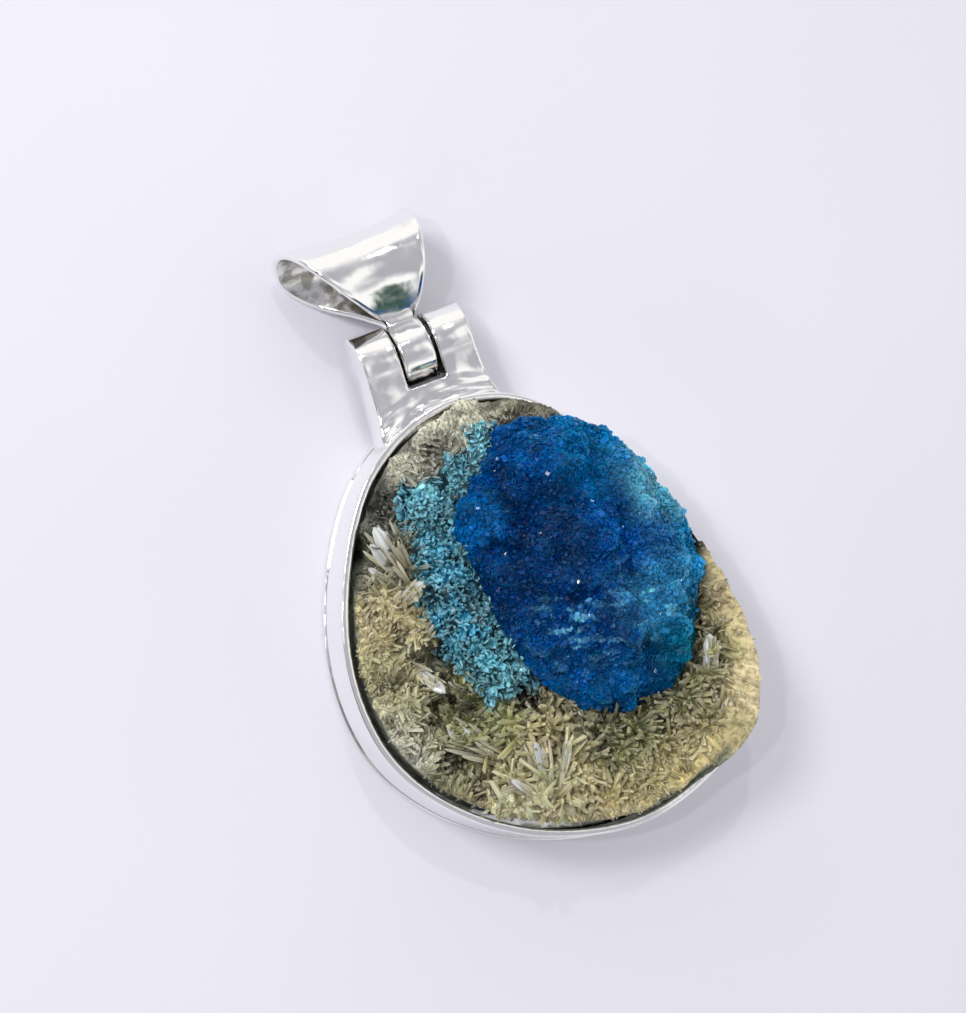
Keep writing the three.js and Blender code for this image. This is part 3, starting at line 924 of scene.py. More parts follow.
@dataclass
class Bail:
    """The tapered bail: a folded leaf of silver and the tongue that turns on the pin."""

    silver: bpy.types.Material
    fold_radius: float = 3.6
    fold_at: float = 7.7
    tip_radius: float = 0.9
    tip_at: float = 3.0
    sheet: float = 0.65
    flare: float = 0.5
    widths: tuple[Pair, ...] = ((3.0, 1.25), (3.6, 1.9), (4.4, 2.4), (6.4, 3.4), (8.9, 4.7), (11.3, 6.1))
    tongue_radius: float = 2.75
    tongue_width: float = 3.1
    tongue_bore: float = 0.75
    skew_front: float = 1.1
    skew_depth: float = 0.24
    skew_from: float = 3.4
    skew_to: float = 9.5
    inside_tarnish: float = 0.55

    def skew(self, place: np.ndarray) -> float:
        """Gives how far the sheet is bent to the left at a place, the back leaf more than the front."""
        far = self.skew_front + self.skew_depth * (self.fold_radius - place[1])
        return far * smoothstep(place[0], self.skew_from, self.skew_to)

    def course(self) -> tuple[np.ndarray, np.ndarray]:
        """Draws the middle of the sheet from the side.

        Returns:
            The places as pairs of Y and Z about the pin, and the directions outwards.
        """
        slope = math.asin((self.fold_radius - self.tip_radius) / (self.fold_at - self.tip_at))
        half = math.pi / 2 + slope
        fold = [(self.fold_at, self.fold_radius, turn) for turn in np.linspace(half, -half, 97)]
        turns = np.linspace(-half, half - 2 * math.pi, 17)
        tip = [(self.tip_at, self.tip_radius, turn) for turn in turns]
        places, outs = [], []
        for group, following in ((fold, tip), (tip, fold)):
            for at, radius, turn in group:
                out = np.array([math.cos(turn), math.sin(turn)])
                places.append(np.array([at, 0.0]) + out * (radius - self.sheet / 2))
                outs.append(out)
            at, radius, turn = following[0]
            out = np.array([math.cos(turn), math.sin(turn)])
            start, target = places[-1], np.array([at, 0.0]) + out * (radius - self.sheet / 2)
            for share in np.linspace(0, 1, 25)[1:-1]:
                places.append((1 - share) * start + share * target)
                outs.append(outs[-1])
        return np.array(places), np.array(outs)

    def section(self, width: float, flare: float) -> np.ndarray:
        """Draws the sheet's section.

        Args:
            width: half its width.
            flare: how far its sides bend outwards.

        Returns:
            Its corners: the place across, the place outwards and how tarnished the silver is.
        """
        half = self.sheet / 2
        inner = width - half
        across = np.linspace(-1, 1, 21)
        ends = np.linspace(math.pi / 2, -math.pi / 2, 9)[1:-1]
        corners = []
        for side, dark in ((1, 0.0), (-1, self.inside_tarnish)):
            for share in across:
                corners.append((side * share * inner, side * half + flare * share * share, dark))
            for turn in ends:
                place = side * (inner + half * math.cos(turn))
                corners.append((place, side * half * math.sin(turn) + flare, 0.0))
        return np.array(corners)

    def leaf(self) -> Piece:
        """Makes the folded leaf, its edges rounded and its sides flared."""
        places, outs = self.course()
        reach = np.linalg.norm(places + outs * self.sheet / 2, axis=1)
        raw = np.interp(reach, *zip(*self.widths))
        kernel = np.ones(7) / 7
        widths = np.convolve(np.concatenate([raw[-3:], raw, raw[:3]]), kernel, "valid")
        loops, tarnish = [], []
        for place, out, width in zip(places, outs, widths):
            flare = self.flare * smoothstep(place[0], self.tip_at, self.fold_at)
            section = self.section(width, flare)
            spot = place[None, :] + section[:, 1:2] * out[None, :]
            loops.append(np.column_stack([section[:, 0] - self.skew(place), spot]) + PIN_AT)
            tarnish.append(section[:, 2])
        mesh = skin(np.array(loops), ring=True)
        paint(mesh, "tarnish", np.concatenate(tarnish))
        return Piece("bail_leaf", mesh, self.silver, "silver", body=BAIL, stands_for=("bail",))

    def tongue(self) -> Piece:
        """Makes the tongue, a short barrel with rounded edges."""
        half, edge = self.tongue_width / 2, 0.3
        crown, low = 0.04, self.tongue_radius - edge
        section = []
        for x in np.linspace(edge - half, half - edge, 9):
            section.append((x, self.tongue_radius + crown * (1 - (x / half) ** 2)))
        for turn in np.linspace(math.pi / 2, 0, 6)[1:]:
            section.append((half - edge + edge * math.cos(turn), low + edge * math.sin(turn)))
        section += [(half, self.tongue_bore), (-half, self.tongue_bore)]
        for turn in np.linspace(math.pi, math.pi / 2, 6)[:-1]:
            section.append((edge - half + edge * math.cos(turn), low + edge * math.sin(turn)))
        section = np.array(section)
        loops = []
        for turn in np.linspace(0, 2 * math.pi, 128, endpoint=False):
            round_pin = section[:, 1:] * np.array([math.cos(turn), math.sin(turn)])
            loops.append(np.column_stack([section[:, 0], round_pin]) + PIN_AT)
        mesh = skin(np.array(loops), ring=True)
        corners = corners_of(mesh) - PIN_AT
        sides = smoothstep(np.abs(corners[:, 0]), half - 0.12, half)
        paint(mesh, "tarnish", 0.8 * sides)
        return Piece("bail_tongue", mesh, self.silver, "silver", body=BAIL)

    def build(self) -> None:
        """Makes the bail's pieces."""
        self.leaf().finish()
        self.tongue().finish()


# Crystals

@dataclass(frozen=True)
class CrystalShape:
    """One crystal of unit length along Z, to be stretched where it grows."""

    name: str
    sides: int
    shoulder: float
    tip: Pair
    slant: float
    root: float = 0.75
    sunk: float = 0.3

    def make(self) -> bpy.types.Object:
        """Builds the crystal's object, with its place along the length as an attribute."""
        turns = (np.arange(self.sides) + 0.5) * 2 * math.pi / self.sides
        ring = 0.5 * np.column_stack([np.cos(turns), np.sin(turns)]) / math.cos(math.pi / self.sides)
        loops = []
        for height, wide, deep, tilt in (
            (-self.sunk, self.root, self.root, 0.0),
            (self.shoulder, 1.0, 1.0, 0.3 * self.slant),
            (1.0 - abs(self.slant) / 2, *self.tip, self.slant),
        ):
            flat = ring * np.array([wide, deep])
            loops.append(np.column_stack([flat, height + tilt * flat[:, 0]]))
        mesh = skin(np.array(loops), ring=False)
        corners = corners_of(mesh)
        paint(mesh, "along", np.clip(corners[:, 2], 0.0, 1.0))
        paint(mesh, "fibre", corners * np.array([1.0, 1.0, 0.12]))
        return bpy.data.objects.new(self.name, mesh)


BLADES = (
    CrystalShape("blade_pointed", 4, 0.84, (0.45, 0.4), 0.25, root=0.9),
    CrystalShape("blade_chisel", 4, 0.88, (0.75, 0.4), -0.4, root=0.95),
    CrystalShape("blade_broken", 4, 0.93, (0.95, 0.8), 0.5, root=0.95),
    CrystalShape("blade_slender", 6, 0.88, (0.55, 0.5), 0.2, root=0.9),
)
PRISMS = (
    CrystalShape("prism_pointed", 4, 0.6, (0.15, 0.15), 0.2),
    CrystalShape("prism_blunt", 4, 0.75, (0.55, 0.5), -0.5),
    CrystalShape("prism_stout", 5, 0.55, (0.3, 0.3), 0.3),
)
PLATES = (
    CrystalShape("plate_square", 4, 0.85, (0.8, 0.8), 0.3),
    CrystalShape("plate_five", 5, 0.7, (0.6, 0.7), -0.3),
)


class BedTree(NodeTree):
    """Geometry nodes that stand crystals on a body, in rosettes that spread from hidden roots."""

    NUMBERS = (
        "Spacing", "Shortest", "Longest", "Narrowest", "Widest", "Thinness",
        "Rosette Spacing", "Root Depth", "Wander", "Upright",
    )

    def __init__(self) -> None:
        """Builds the group and its inputs."""
        super().__init__(bpy.data.node_groups.new("crystal_bed", "GeometryNodeTree"))
        face = self.tree.interface
        face.new_socket("Geometry", in_out="OUTPUT", socket_type="NodeSocketGeometry")
        face.new_socket("Geometry", in_out="INPUT", socket_type="NodeSocketGeometry")
        face.new_socket("Crystals", in_out="INPUT", socket_type="NodeSocketCollection")
        face.new_socket("Material", in_out="INPUT", socket_type="NodeSocketMaterial")
        face.new_socket("Seed", in_out="INPUT", socket_type="NodeSocketInt")
        for name in self.NUMBERS:
            face.new_socket(name, in_out="INPUT", socket_type="NodeSocketFloat")
        self.group = self.add("NodeGroupInput").outputs
        self.build()

    def math(self, operation: str, first: Any, second: Any = 0.0) -> bpy.types.NodeSocket:
        """Adds a sum of two numbers."""
        return self.out("ShaderNodeMath", {0: first, 1: second}, operation=operation)

    def vector(self, operation: str, first: Any, second: Any = (0.0,) * 3) -> bpy.types.NodeSocket:
        """Adds a sum of two vectors."""
        return self.out("ShaderNodeVectorMath", {0: first, 1: second}, operation=operation)

    def scaled(self, vector: Any, scale: Any) -> bpy.types.NodeSocket:
        """Scales a vector."""
        return self.out("ShaderNodeVectorMath", {0: vector, "Scale": scale}, operation="SCALE")

    def random(self, low: Any, high: Any, seed: int) -> bpy.types.NodeSocket:
        """Adds a random number for each point."""
        values = {"Min_001": low, "Max_001": high, "Seed": self.math("ADD", self.group["Seed"], seed)}
        return self.out("FunctionNodeRandomValue", values, "Value_001", data_type="FLOAT")

    def named(self, name: str, kind: str) -> bpy.types.NodeSocket:
        """Reads an attribute of the body."""
        return self.out("GeometryNodeInputNamedAttribute", {"Name": name}, data_type=kind)

    def scattered(self, spacing: Any, seed: int, cover: Any) -> bpy.types.Node:
        """Spreads points over the body, none closer than a spacing.

        Args:
            spacing: the least distance between two points.
            seed: what to add to the seed.
            cover: how much of each place is covered.

        Returns:
            The node.
        """
        crowd = self.math("DIVIDE", 3.0, self.math("MULTIPLY", spacing, spacing))
        return self.add("GeometryNodeDistributePointsOnFaces", {
            "Mesh": self.group["Geometry"],
            "Distance Min": spacing,
            "Density Max": crowd,
            "Density Factor": cover,
            "Seed": self.math("ADD", self.group["Seed"], seed),
        }, distribute_method="POISSON")

    def heading(self, points: bpy.types.Node) -> bpy.types.NodeSocket:
        """Points each crystal away from the nearest root, bent by the body's own comb.

        Args:
            points: the node that spreads the crystals.

        Returns:
            The direction.
        """
        roots = self.scattered(self.group["Rosette Spacing"], 31, 1.0)
        sunk = self.math("MULTIPLY", self.group["Root Depth"], -1.0)
        buried = self.out("GeometryNodeSetPosition", {
            "Geometry": roots.outputs["Points"],
            "Offset": self.scaled(roots.outputs["Normal"], sunk),
        })
        place = self.out("GeometryNodeInputPosition")
        nearest = self.out("GeometryNodeSampleNearest", {"Geometry": buried})
        root = self.out(
            "GeometryNodeSampleIndex", {"Geometry": buried, "Value": place, "Index": nearest},
            data_type="FLOAT_VECTOR",
        )
        away = self.vector("NORMALIZE", self.vector("SUBTRACT", place, root))
        low, high = (-1.0, -1.0, -1.0), (1.0, 1.0, 1.0)
        stray = self.out(
            "FunctionNodeRandomValue",
            {"Min": low, "Max": high, "Seed": self.math("ADD", self.group["Seed"], 5)},
            data_type="FLOAT_VECTOR",
        )
        drifting = self.vector("ADD", away, self.scaled(stray, self.group["Wander"]))
        upright = self.scaled(points.outputs["Normal"], self.group["Upright"])
        lifted = self.vector("ADD", drifting, upright)
        return self.vector("ADD", lifted, self.named("comb", "FLOAT_VECTOR"))

    def build(self) -> None:
        """Fills the tree."""
        points = self.scattered(self.group["Spacing"], 0, self.named("cover", "FLOAT"))
        size = self.named("size", "FLOAT")
        tall = self.random(self.group["Shortest"], self.group["Longest"], 1)
        wide = self.random(self.group["Narrowest"], self.group["Widest"], 2)
        length = self.math("MULTIPLY", tall, size)
        width = self.math("MULTIPLY", wide, size)
        scale = self.out("ShaderNodeCombineXYZ", {
            0: width, 1: self.math("MULTIPLY", width, self.group["Thinness"]), 2: length,
        })
        aligned = self.out(
            "FunctionNodeAlignRotationToVector", {"Vector": self.heading(points)}, axis="Z"
        )
        spin = self.out("FunctionNodeAxisAngleToRotation", {
            "Axis": (0.0, 0.0, 1.0), "Angle": self.random(0.0, 2 * math.pi, 3),
        })
        turned = self.out(
            "FunctionNodeRotateRotation",
            {"Rotation": aligned, "Rotate By": spin},
            rotation_space="LOCAL",
        )
        tinted = self.out("GeometryNodeStoreNamedAttribute", {
            "Geometry": points.outputs["Points"], "Name": "tint", "Value": self.random(0.0, 1.0, 4),
        }, data_type="FLOAT", domain="POINT")
        crystals = self.out("GeometryNodeCollectionInfo", {
            "Collection": self.group["Crystals"], "Separate Children": True, "Reset Children": True,
        })
        standing = self.out("GeometryNodeInstanceOnPoints", {
            "Points": tinted, "Instance": crystals, "Pick Instance": True,
            "Rotation": turned, "Scale": scale,
            "Instance Index": self.out(
                "FunctionNodeRandomValue",
                {"Min_002": 0, "Max_002": 11, "Seed": self.math("ADD", self.group["Seed"], 7)},
                "Value_002", data_type="INT",
            ),
        })
        real = self.out("GeometryNodeRealizeInstances", {"Geometry": standing})
        dressed = self.out("GeometryNodeSetMaterial", {
            "Geometry": real, "Material": self.group["Material"],
        })
        self.add("NodeGroupOutput", {"Geometry": dressed})


@dataclass(frozen=True)
class Habit:
    """How large a bed's crystals are, in millimetres, and how they stand."""

    spacing: float
    lengths: Pair
    widths: Pair
    thinness: float
    rosette_spacing: float
    root_depth: float
    wander: float
    upright: float

    def inputs(self) -> dict[str, float]:
        """Names the numbers as the bed's nodes do."""
        stance = (self.rosette_spacing, self.root_depth, self.wander, self.upright)
        numbers = (self.spacing, *self.lengths, *self.widths, self.thinness, *stance)
        return dict(zip(BedTree.NUMBERS, numbers, strict=True))


@dataclass
class CrystalBed:
    """A bed of crystals that covers a body."""

    name: str
    shapes: tuple[CrystalShape, ...]
    material: bpy.types.Material
    slot: str
    seed: int
    habit: Habit

    def grow(self, body: bpy.types.Mesh, tree: BedTree) -> bpy.types.Object:
        """Grows the crystals on a body.

        Args:
            body: the painted body, in millimetres.
            tree: the nodes that stand the crystals on it.

        Returns:
            The finished piece.
        """
        drawer = bpy.data.collections.new(self.name + "_shapes")
        for shape in self.shapes:
            drawer.objects.link(shape.make())

        def plant(probe: bpy.types.Object) -> None:
            """Adds the bed's nodes with their inputs set."""
            modifier = probe.modifiers.new("bed", "NODES")
            modifier.node_group = tree.tree
            given = {"Crystals": drawer, "Material": self.material, "Seed": self.seed}
            given |= self.habit.inputs()
            for item in tree.tree.interface.items_tree:
                if item.in_out == "INPUT" and item.name in given:
                    modifier[item.identifier] = given[item.name]

        mesh = evaluated(body.copy(), plant)
        for thing in list(drawer.objects):
            bpy.data.objects.remove(thing)
        bpy.data.collections.remove(drawer)
        return Piece(self.name, mesh, self.material, self.slot, shading=Shading.FLAT).finish()


@dataclass(frozen=True)
class Zone:
    """A patch of the face with its own colour and size of crystal."""

    at: Pair
    reach: float
    colour: Colour
    size: float = 1.0


def blended(zones: tuple[Zone, ...], places: np.ndarray) -> tuple[np.ndarray, np.ndarray]:
    """Blends zones over the face, with ragged borders.

    Args:
        zones: the zones.
        places: the corners of the body.

    Returns:
        The colour and the size of crystal at each corner.
    """
    ragged = np.column_stack([noise_at(places, 0.45, 1.0), noise_at(places, 0.45, 6.0)])
    flat = places[:, :2] + 1.5 * ragged
    weights = np.array([
        np.exp(-((flat - np.array(zone.at)) ** 2).sum(axis=1) / zone.reach ** 2) + 1e-9 for zone in zones
    ])
    weights = weights / weights.sum(axis=0)
    colours = weights.T @ np.array([zone.colour for zone in zones])
    sizes = weights.T @ np.array([zone.size for zone in zones])
    return colours, sizes


def near_any(corners: np.ndarray, spots: tuple) -> np.ndarray:
    """Measures how far places lie, seen from above, from the nearest of some spots."""
    flat = corners[:, None, :2] - np.array(spots)[None, :, :]
    return np.linalg.norm(flat, axis=2).min(axis=1)


def paint_bed(
    mesh: bpy.types.Mesh, colour: np.ndarray, cover: np.ndarray, size: np.ndarray, comb: np.ndarray
) -> None:
    """Stores what a bed of crystals needs to know of its body.

    Args:
        mesh: the body.
        colour: its colour at each corner.
        cover: how much of each corner is covered with crystals.
        size: the crystals' size there.
        comb: a direction that they are combed in.
    """
    paint(mesh, "ground", np.column_stack([np.clip(colour, 0.0, 1.0), np.ones(len(colour))]))
    paint(mesh, "cover", np.clip(cover, 0.0, 1.0))
    paint(mesh, "size", size)
    paint(mesh, "comb", comb)


@dataclass(frozen=True)
class SlabFace:
    """What the slab's painting needs to know of each of its corners."""

    corners: np.ndarray
    upward: np.ndarray
    share: np.ndarray
    overhang: np.ndarray
    relief: np.ndarray
    blue: np.ndarray
    crumbled: np.ndarray
    open_air: np.ndarray


@dataclass
class Stilbite:
    """The stilbite slab with its blades."""

    tree: BedTree
    outline: Outline
    plates: bpy.types.Material
    voxel: float = 0.28
    rounds: int = 4
    relief: Layers = ((0.6, 0.5, 2.0), (0.4, 1.1, 3.0), (0.18, 2.4, 3.0))
    ragged: Layers = ((0.9, 0.6, 14.0), (0.5, 1.5, 15.0))
    # A sloping crown; the slab is painted darker as shade the deeper it lies below it.
    crown: float = 8.1
    rise: float = 0.07
    fall: float = 0.05
    flank: Colour = (0.34, 0.37, 0.30)
    flank_fall: float = 1.3
    seam_rise: float = 0.9
    edge_wear: float = 0.10
    branch: tuple[Pair, ...] = ((1.3, 15.6), (-0.7, 14.3), (-2.8, 13.2), (-4.6, 13.2))
    branch_reach: float = 1.3
    # Pits, painted nearly black as shade, where the crystals also grow smaller.
    pits: tuple[Pair, ...] = (
        (-9.3, 13.7), (-12.2, 10.7), (-7.9, 0.2), (-2.6, -5.8), (-11.2, -8.8), (-8.6, -4.6), (15.4, 1.0),
    )
    pit_reach: float = 2.0
    fibre_scales: tuple[float, float, float] = (42.0, 0.35, 0.8)
    crumb_colours: tuple[Colour, Colour] = ((0.01, 0.12, 0.20), (0.24, 0.62, 0.74))
    zones: tuple[Zone, ...] = (
        Zone((-13.0, -1.5), 4.0, (0.58, 0.54, 0.29), 0.9),
        Zone((-11.5, 4.5), 2.4, (0.92, 0.80, 0.45), 0.9),
        Zone((-14.6, -5.5), 2.2, (0.98, 0.97, 0.80), 1.0),
        Zone((-12.8, -10.8), 2.2, (0.13, 0.15, 0.07), 1.1),
        Zone((-10.5, 12.0), 4.0, (0.10, 0.12, 0.09), 0.9),
        Zone((-2.0, 17.0), 4.0, (0.74, 0.73, 0.59), 0.9),
        Zone((6.5, 17.0), 4.0, (0.30, 0.29, 0.20), 0.85),
        Zone((-8.5, -6.0), 3.2, (0.42, 0.45, 0.16), 1.2),
        Zone((-9.5, -12.5), 2.8, (1.00, 0.88, 0.48), 1.3),
        Zone((-4.5, -14.5), 3.4, (1.00, 0.86, 0.48), 1.5),
        Zone((1.0, -17.5), 3.6, (0.76, 0.66, 0.33), 1.0),
        Zone((2.5, -12.5), 2.6, (0.28, 0.30, 0.12), 1.3),
        Zone((9.5, -11.5), 3.0, (0.26, 0.26, 0.10), 1.2),
        Zone((9.0, -16.5), 3.2, (0.84, 0.70, 0.33), 1.0),
        Zone((15.5, -12.0), 3.6, (0.82, 0.70, 0.42), 0.9),
        Zone((16.5, -4.0), 3.4, (0.68, 0.57, 0.32), 0.9),
        Zone((13.0, -7.5), 2.0, (0.42, 0.42, 0.17), 1.2),
    )

    def body(self) -> bpy.types.Mesh:
        """Makes the slab's body, roughened and painted."""
        mesh = softened(node_mesh("stilbite_matrix"), self.voxel, self.rounds)
        face = self.roughened(mesh)
        place_corners(mesh, face.corners)
        colour, size = blended(self.zones, face.corners)
        cover, size = self.crystals_on(face, size)
        comb = self.combed(face.corners, face.share)
        turns = np.arctan2(face.corners[:, 1], face.corners[:, 0])
        reaches = np.hypot(face.corners[:, 0], face.corners[:, 1])
        fibre = np.column_stack([turns, reaches, face.corners[:, 2]]) * np.array(self.fibre_scales)
        paint(mesh, "fibre", fibre)
        clear = 1 - smoothstep(face.crumbled, 0.2, 0.6)
        paint_bed(mesh, self.coloured(face, colour), cover * clear, size, comb)
        paint(mesh, "crumbled", face.crumbled * cover)
        return mesh

    def roughened(self, mesh: bpy.types.Mesh) -> SlabFace:
        """Works out the slab's uneven face.

        Args:
            mesh: the smooth slab.

        Returns:
            Its corners at their new places, with what their painting needs.
        """
        corners, normals = corners_of(mesh), normals_of(mesh)
        upward = smoothstep(normals[:, 2], 0.25, 0.6) * smoothstep(corners[:, 2], 5.0, 6.5)
        blue = distances(corners, node_mesh("cavansite_cluster"))
        pale = distances(corners, node_mesh("cavansite_druse"))
        crumbled = self.crumbled(corners, blue, pale)
        share = self.outline.share(corners)
        overhang = smoothstep(corners[:, 0] + 0.7 * corners[:, 1], -4.0, 6.0)
        right = smoothstep(corners[:, 0] - 0.6 * corners[:, 1], 2.0, 12.0)
        calm = 1.0 - 0.6 * smoothstep(share, 0.7, 0.9) * right
        relief = layered(corners, self.relief) * calm
        edge = -self.edge_wear * np.abs(noise_at(corners, 1.6, 8.0)) * (1 - upward)
        corners = corners + normals * (relief * upward + edge)[:, None]
        swell = 0.7 + 0.5 * noise_at(corners, 1.2, 19.0)
        corners[:, 2] += self.seam_rise * crumbled * upward * swell
        uneven = 0.8 + 0.6 * noise_at(corners, 0.8, 22.0)
        bank = smoothstep(share, 0.885, 0.945) * (1 - overhang) * uneven
        corners[:, 2] -= self.flank_fall * bank * upward
        upward = upward * (1 - np.clip(1.5 * bank, 0, 1))
        ragged = 0.8 * noise_at(corners, 0.5, 23.0)
        open_air = smoothstep(near_any(corners, self.pits) + ragged, 0.4, self.pit_reach)
        return SlabFace(corners, upward, share, overhang, relief, blue, crumbled, open_air)

    def coloured(self, face: SlabFace, colour: np.ndarray) -> np.ndarray:
        """Colours the slab, with painted shade below its crown, where its relief dips, in its pits and
        beside the cluster.

        Args:
            face: the slab's face.
            colour: the stone's own colour at each corner.

        Returns:
            The colour at each corner.
        """
        corners = face.corners
        # Painted shade: darker the deeper the slab lies below its crown, and where its relief dips.
        crown = self.crown + self.rise * corners[:, 0] - self.fall * corners[:, 1]
        dark = 1.0 - 0.85 * smoothstep(crown - corners[:, 2], 0.1, 2.2)
        relief_shade = 0.4 + 0.8 * smoothstep(face.relief, -0.45, 0.15)
        # Painted shadow of the cluster on the stone beside it.
        shaded = dark * relief_shade * (0.6 + 0.4 * smoothstep(face.blue, 0.3, 1.5))
        colour = colour * shaded[:, None]
        overhang = face.overhang[:, None]
        side = np.array(self.flank)[None, :] * (1 - overhang) + 0.75 * colour * overhang
        # Painted shade in the pits.
        pit_shade = (0.12 + 0.88 * face.open_air)[:, None]
        upward, crumbled = face.upward[:, None], face.crumbled[:, None]
        colour = side * pit_shade * (1 - upward) + colour * pit_shade * upward
        return colour * (1 - crumbled) + 0.5 * self.crumb_colour(corners) * crumbled

    def crystals_on(self, face: SlabFace, size: np.ndarray) -> tuple[np.ndarray, np.ndarray]:
        """Tells where crystals cover the slab, whose right border is sawn bare.

        Args:
            face: the slab's face.
            size: the blades' own size at each corner.

        Returns:
            How much of each corner is covered, and the size of crystal there.
        """
        right = smoothstep(face.corners[:, 0] - 0.3 * face.corners[:, 1], 8.0, 14.0)
        bare = smoothstep(face.share, 0.76, 0.88) * right
        rim = 1.0 - 0.5 * (1 - bare) * smoothstep(face.share, 0.82, 0.95)
        return face.upward * (1.0 - 0.92 * bare), size * rim * (0.6 + 0.4 * face.open_air)

    def crumbled(self, corners: np.ndarray, blue: np.ndarray, pale: np.ndarray) -> np.ndarray:
        """Tells where the pale growth has crumbled over the stone.

        Args:
            corners: the body's corners.
            blue: how far they lie from the cluster.
            pale: how far they lie from the druse.

        Returns:
            How much of each corner it covers.
        """
        ragged = layered(corners, self.ragged)
        near = 1 - smoothstep(pale + ragged, 0.6, 1.2)
        seam = (1 - smoothstep(blue, 1.4, 2.4)) * (1 - smoothstep(pale + 0.5 * ragged, 1.8, 2.6))
        along = near_any(corners, self.branch) + 0.8 * ragged
        branch = 1 - smoothstep(along, self.branch_reach, self.branch_reach + 0.4)
        return np.maximum(np.maximum(near, seam), branch)

    def crumb_colour(self, corners: np.ndarray) -> np.ndarray:
        """Gives the crumbled growth's colour at each corner."""
        dark, light = (np.array(one) for one in self.crumb_colours)
        share = smoothstep(noise_at(corners, 0.8, 16.0), -0.3, 0.4)[:, None]
        return dark + share * (light - dark)

    def combed(self, corners: np.ndarray, share: np.ndarray) -> np.ndarray:
        """Combs the blades near the edge inwards, so that no tip leans out past the sawn side.

        Args:
            corners: the body's corners.
            share: how far they lie towards the edge.

        Returns:
            The comb at each corner.
        """
        flat = corners[:, :2] / np.linalg.norm(corners[:, :2], axis=1)[:, None]
        strength = 1.8 * smoothstep(share, 0.78, 0.92)
        return np.column_stack([-flat * strength[:, None], 0.1 * strength])

    def crumbs(self, body: bpy.types.Mesh) -> bpy.types.Mesh:
        """Paints where the pale growth has crumbled over the stone.

        Args:
            body: the painted slab.

        Returns:
            A copy painted for plates of the pale growth.
        """
        mesh = body.copy()
        corners = corners_of(mesh)
        cover = np.zeros(len(corners), dtype=np.float32)
        mesh.attributes["crumbled"].data.foreach_get("value", cover)
        size = 0.9 + 0.4 * noise_at(corners, 0.9, 17.0)
        paint_bed(mesh, self.crumb_colour(corners), cover, size, np.zeros_like(corners))
        return mesh

    def build(self) -> bpy.types.Mesh:
        """Makes the slab and its beds of blades.

        Returns:
            The painted body, in millimetres.
        """
        body = self.body()
        blades = CrystalFinish(
            "stilbite_blades", root=0.5, tip=(0.97, 0.87, 0.64), tip_share=0.42,
            clear=0.2, roughness=0.14, refraction=1.5,
            variety=(0.6, 1.4), shine=0.7, glow=0.35, streaks=0.3, relief=0.05,
        ).make()
        CrystalBed("stilbite_blades", BLADES, blades, "stilbite", 3, Habit(
            spacing=0.3, lengths=(0.5, 1.4), widths=(0.16, 0.42), thinness=0.5,
            rosette_spacing=2.4, root_depth=0.9, wander=0.8, upright=-0.25,
        )).grow(body, self.tree)
        sheaves = CrystalFinish(
            "stilbite_sheaves", root=0.55, tip=(0.98, 0.91, 0.70), tip_share=0.5,
            clear=0.35, roughness=0.1, refraction=1.5,
            variety=(0.7, 1.4), shine=0.8, glow=0.4, streaks=0.3, relief=0.05,
        ).make()
        CrystalBed("stilbite_sheaves", BLADES, sheaves, "stilbite", 8, Habit(
            spacing=0.62, lengths=(1.0, 2.1), widths=(0.18, 0.4), thinness=0.55,
            rosette_spacing=3.4, root_depth=0.8, wander=0.35, upright=-0.3,
        )).grow(body, self.tree)
        stone = BodyFinish("stilbite_body", roughness=0.3, fibres=0.8).make()
        CrystalBed("druse_crumbs", PLATES, self.plates, "pale_cavansite", 27, Habit(
            spacing=0.26, lengths=(0.35, 0.85), widths=(0.3, 0.65), thinness=0.25,
            rosette_spacing=1.3, root_depth=0.4, wander=1.1, upright=0.4,
        )).grow(self.crumbs(body), self.tree)
        Piece("stilbite_body", body.copy(), stone, "stilbite", stands_for=("stilbite_matrix",)).finish()
        return body


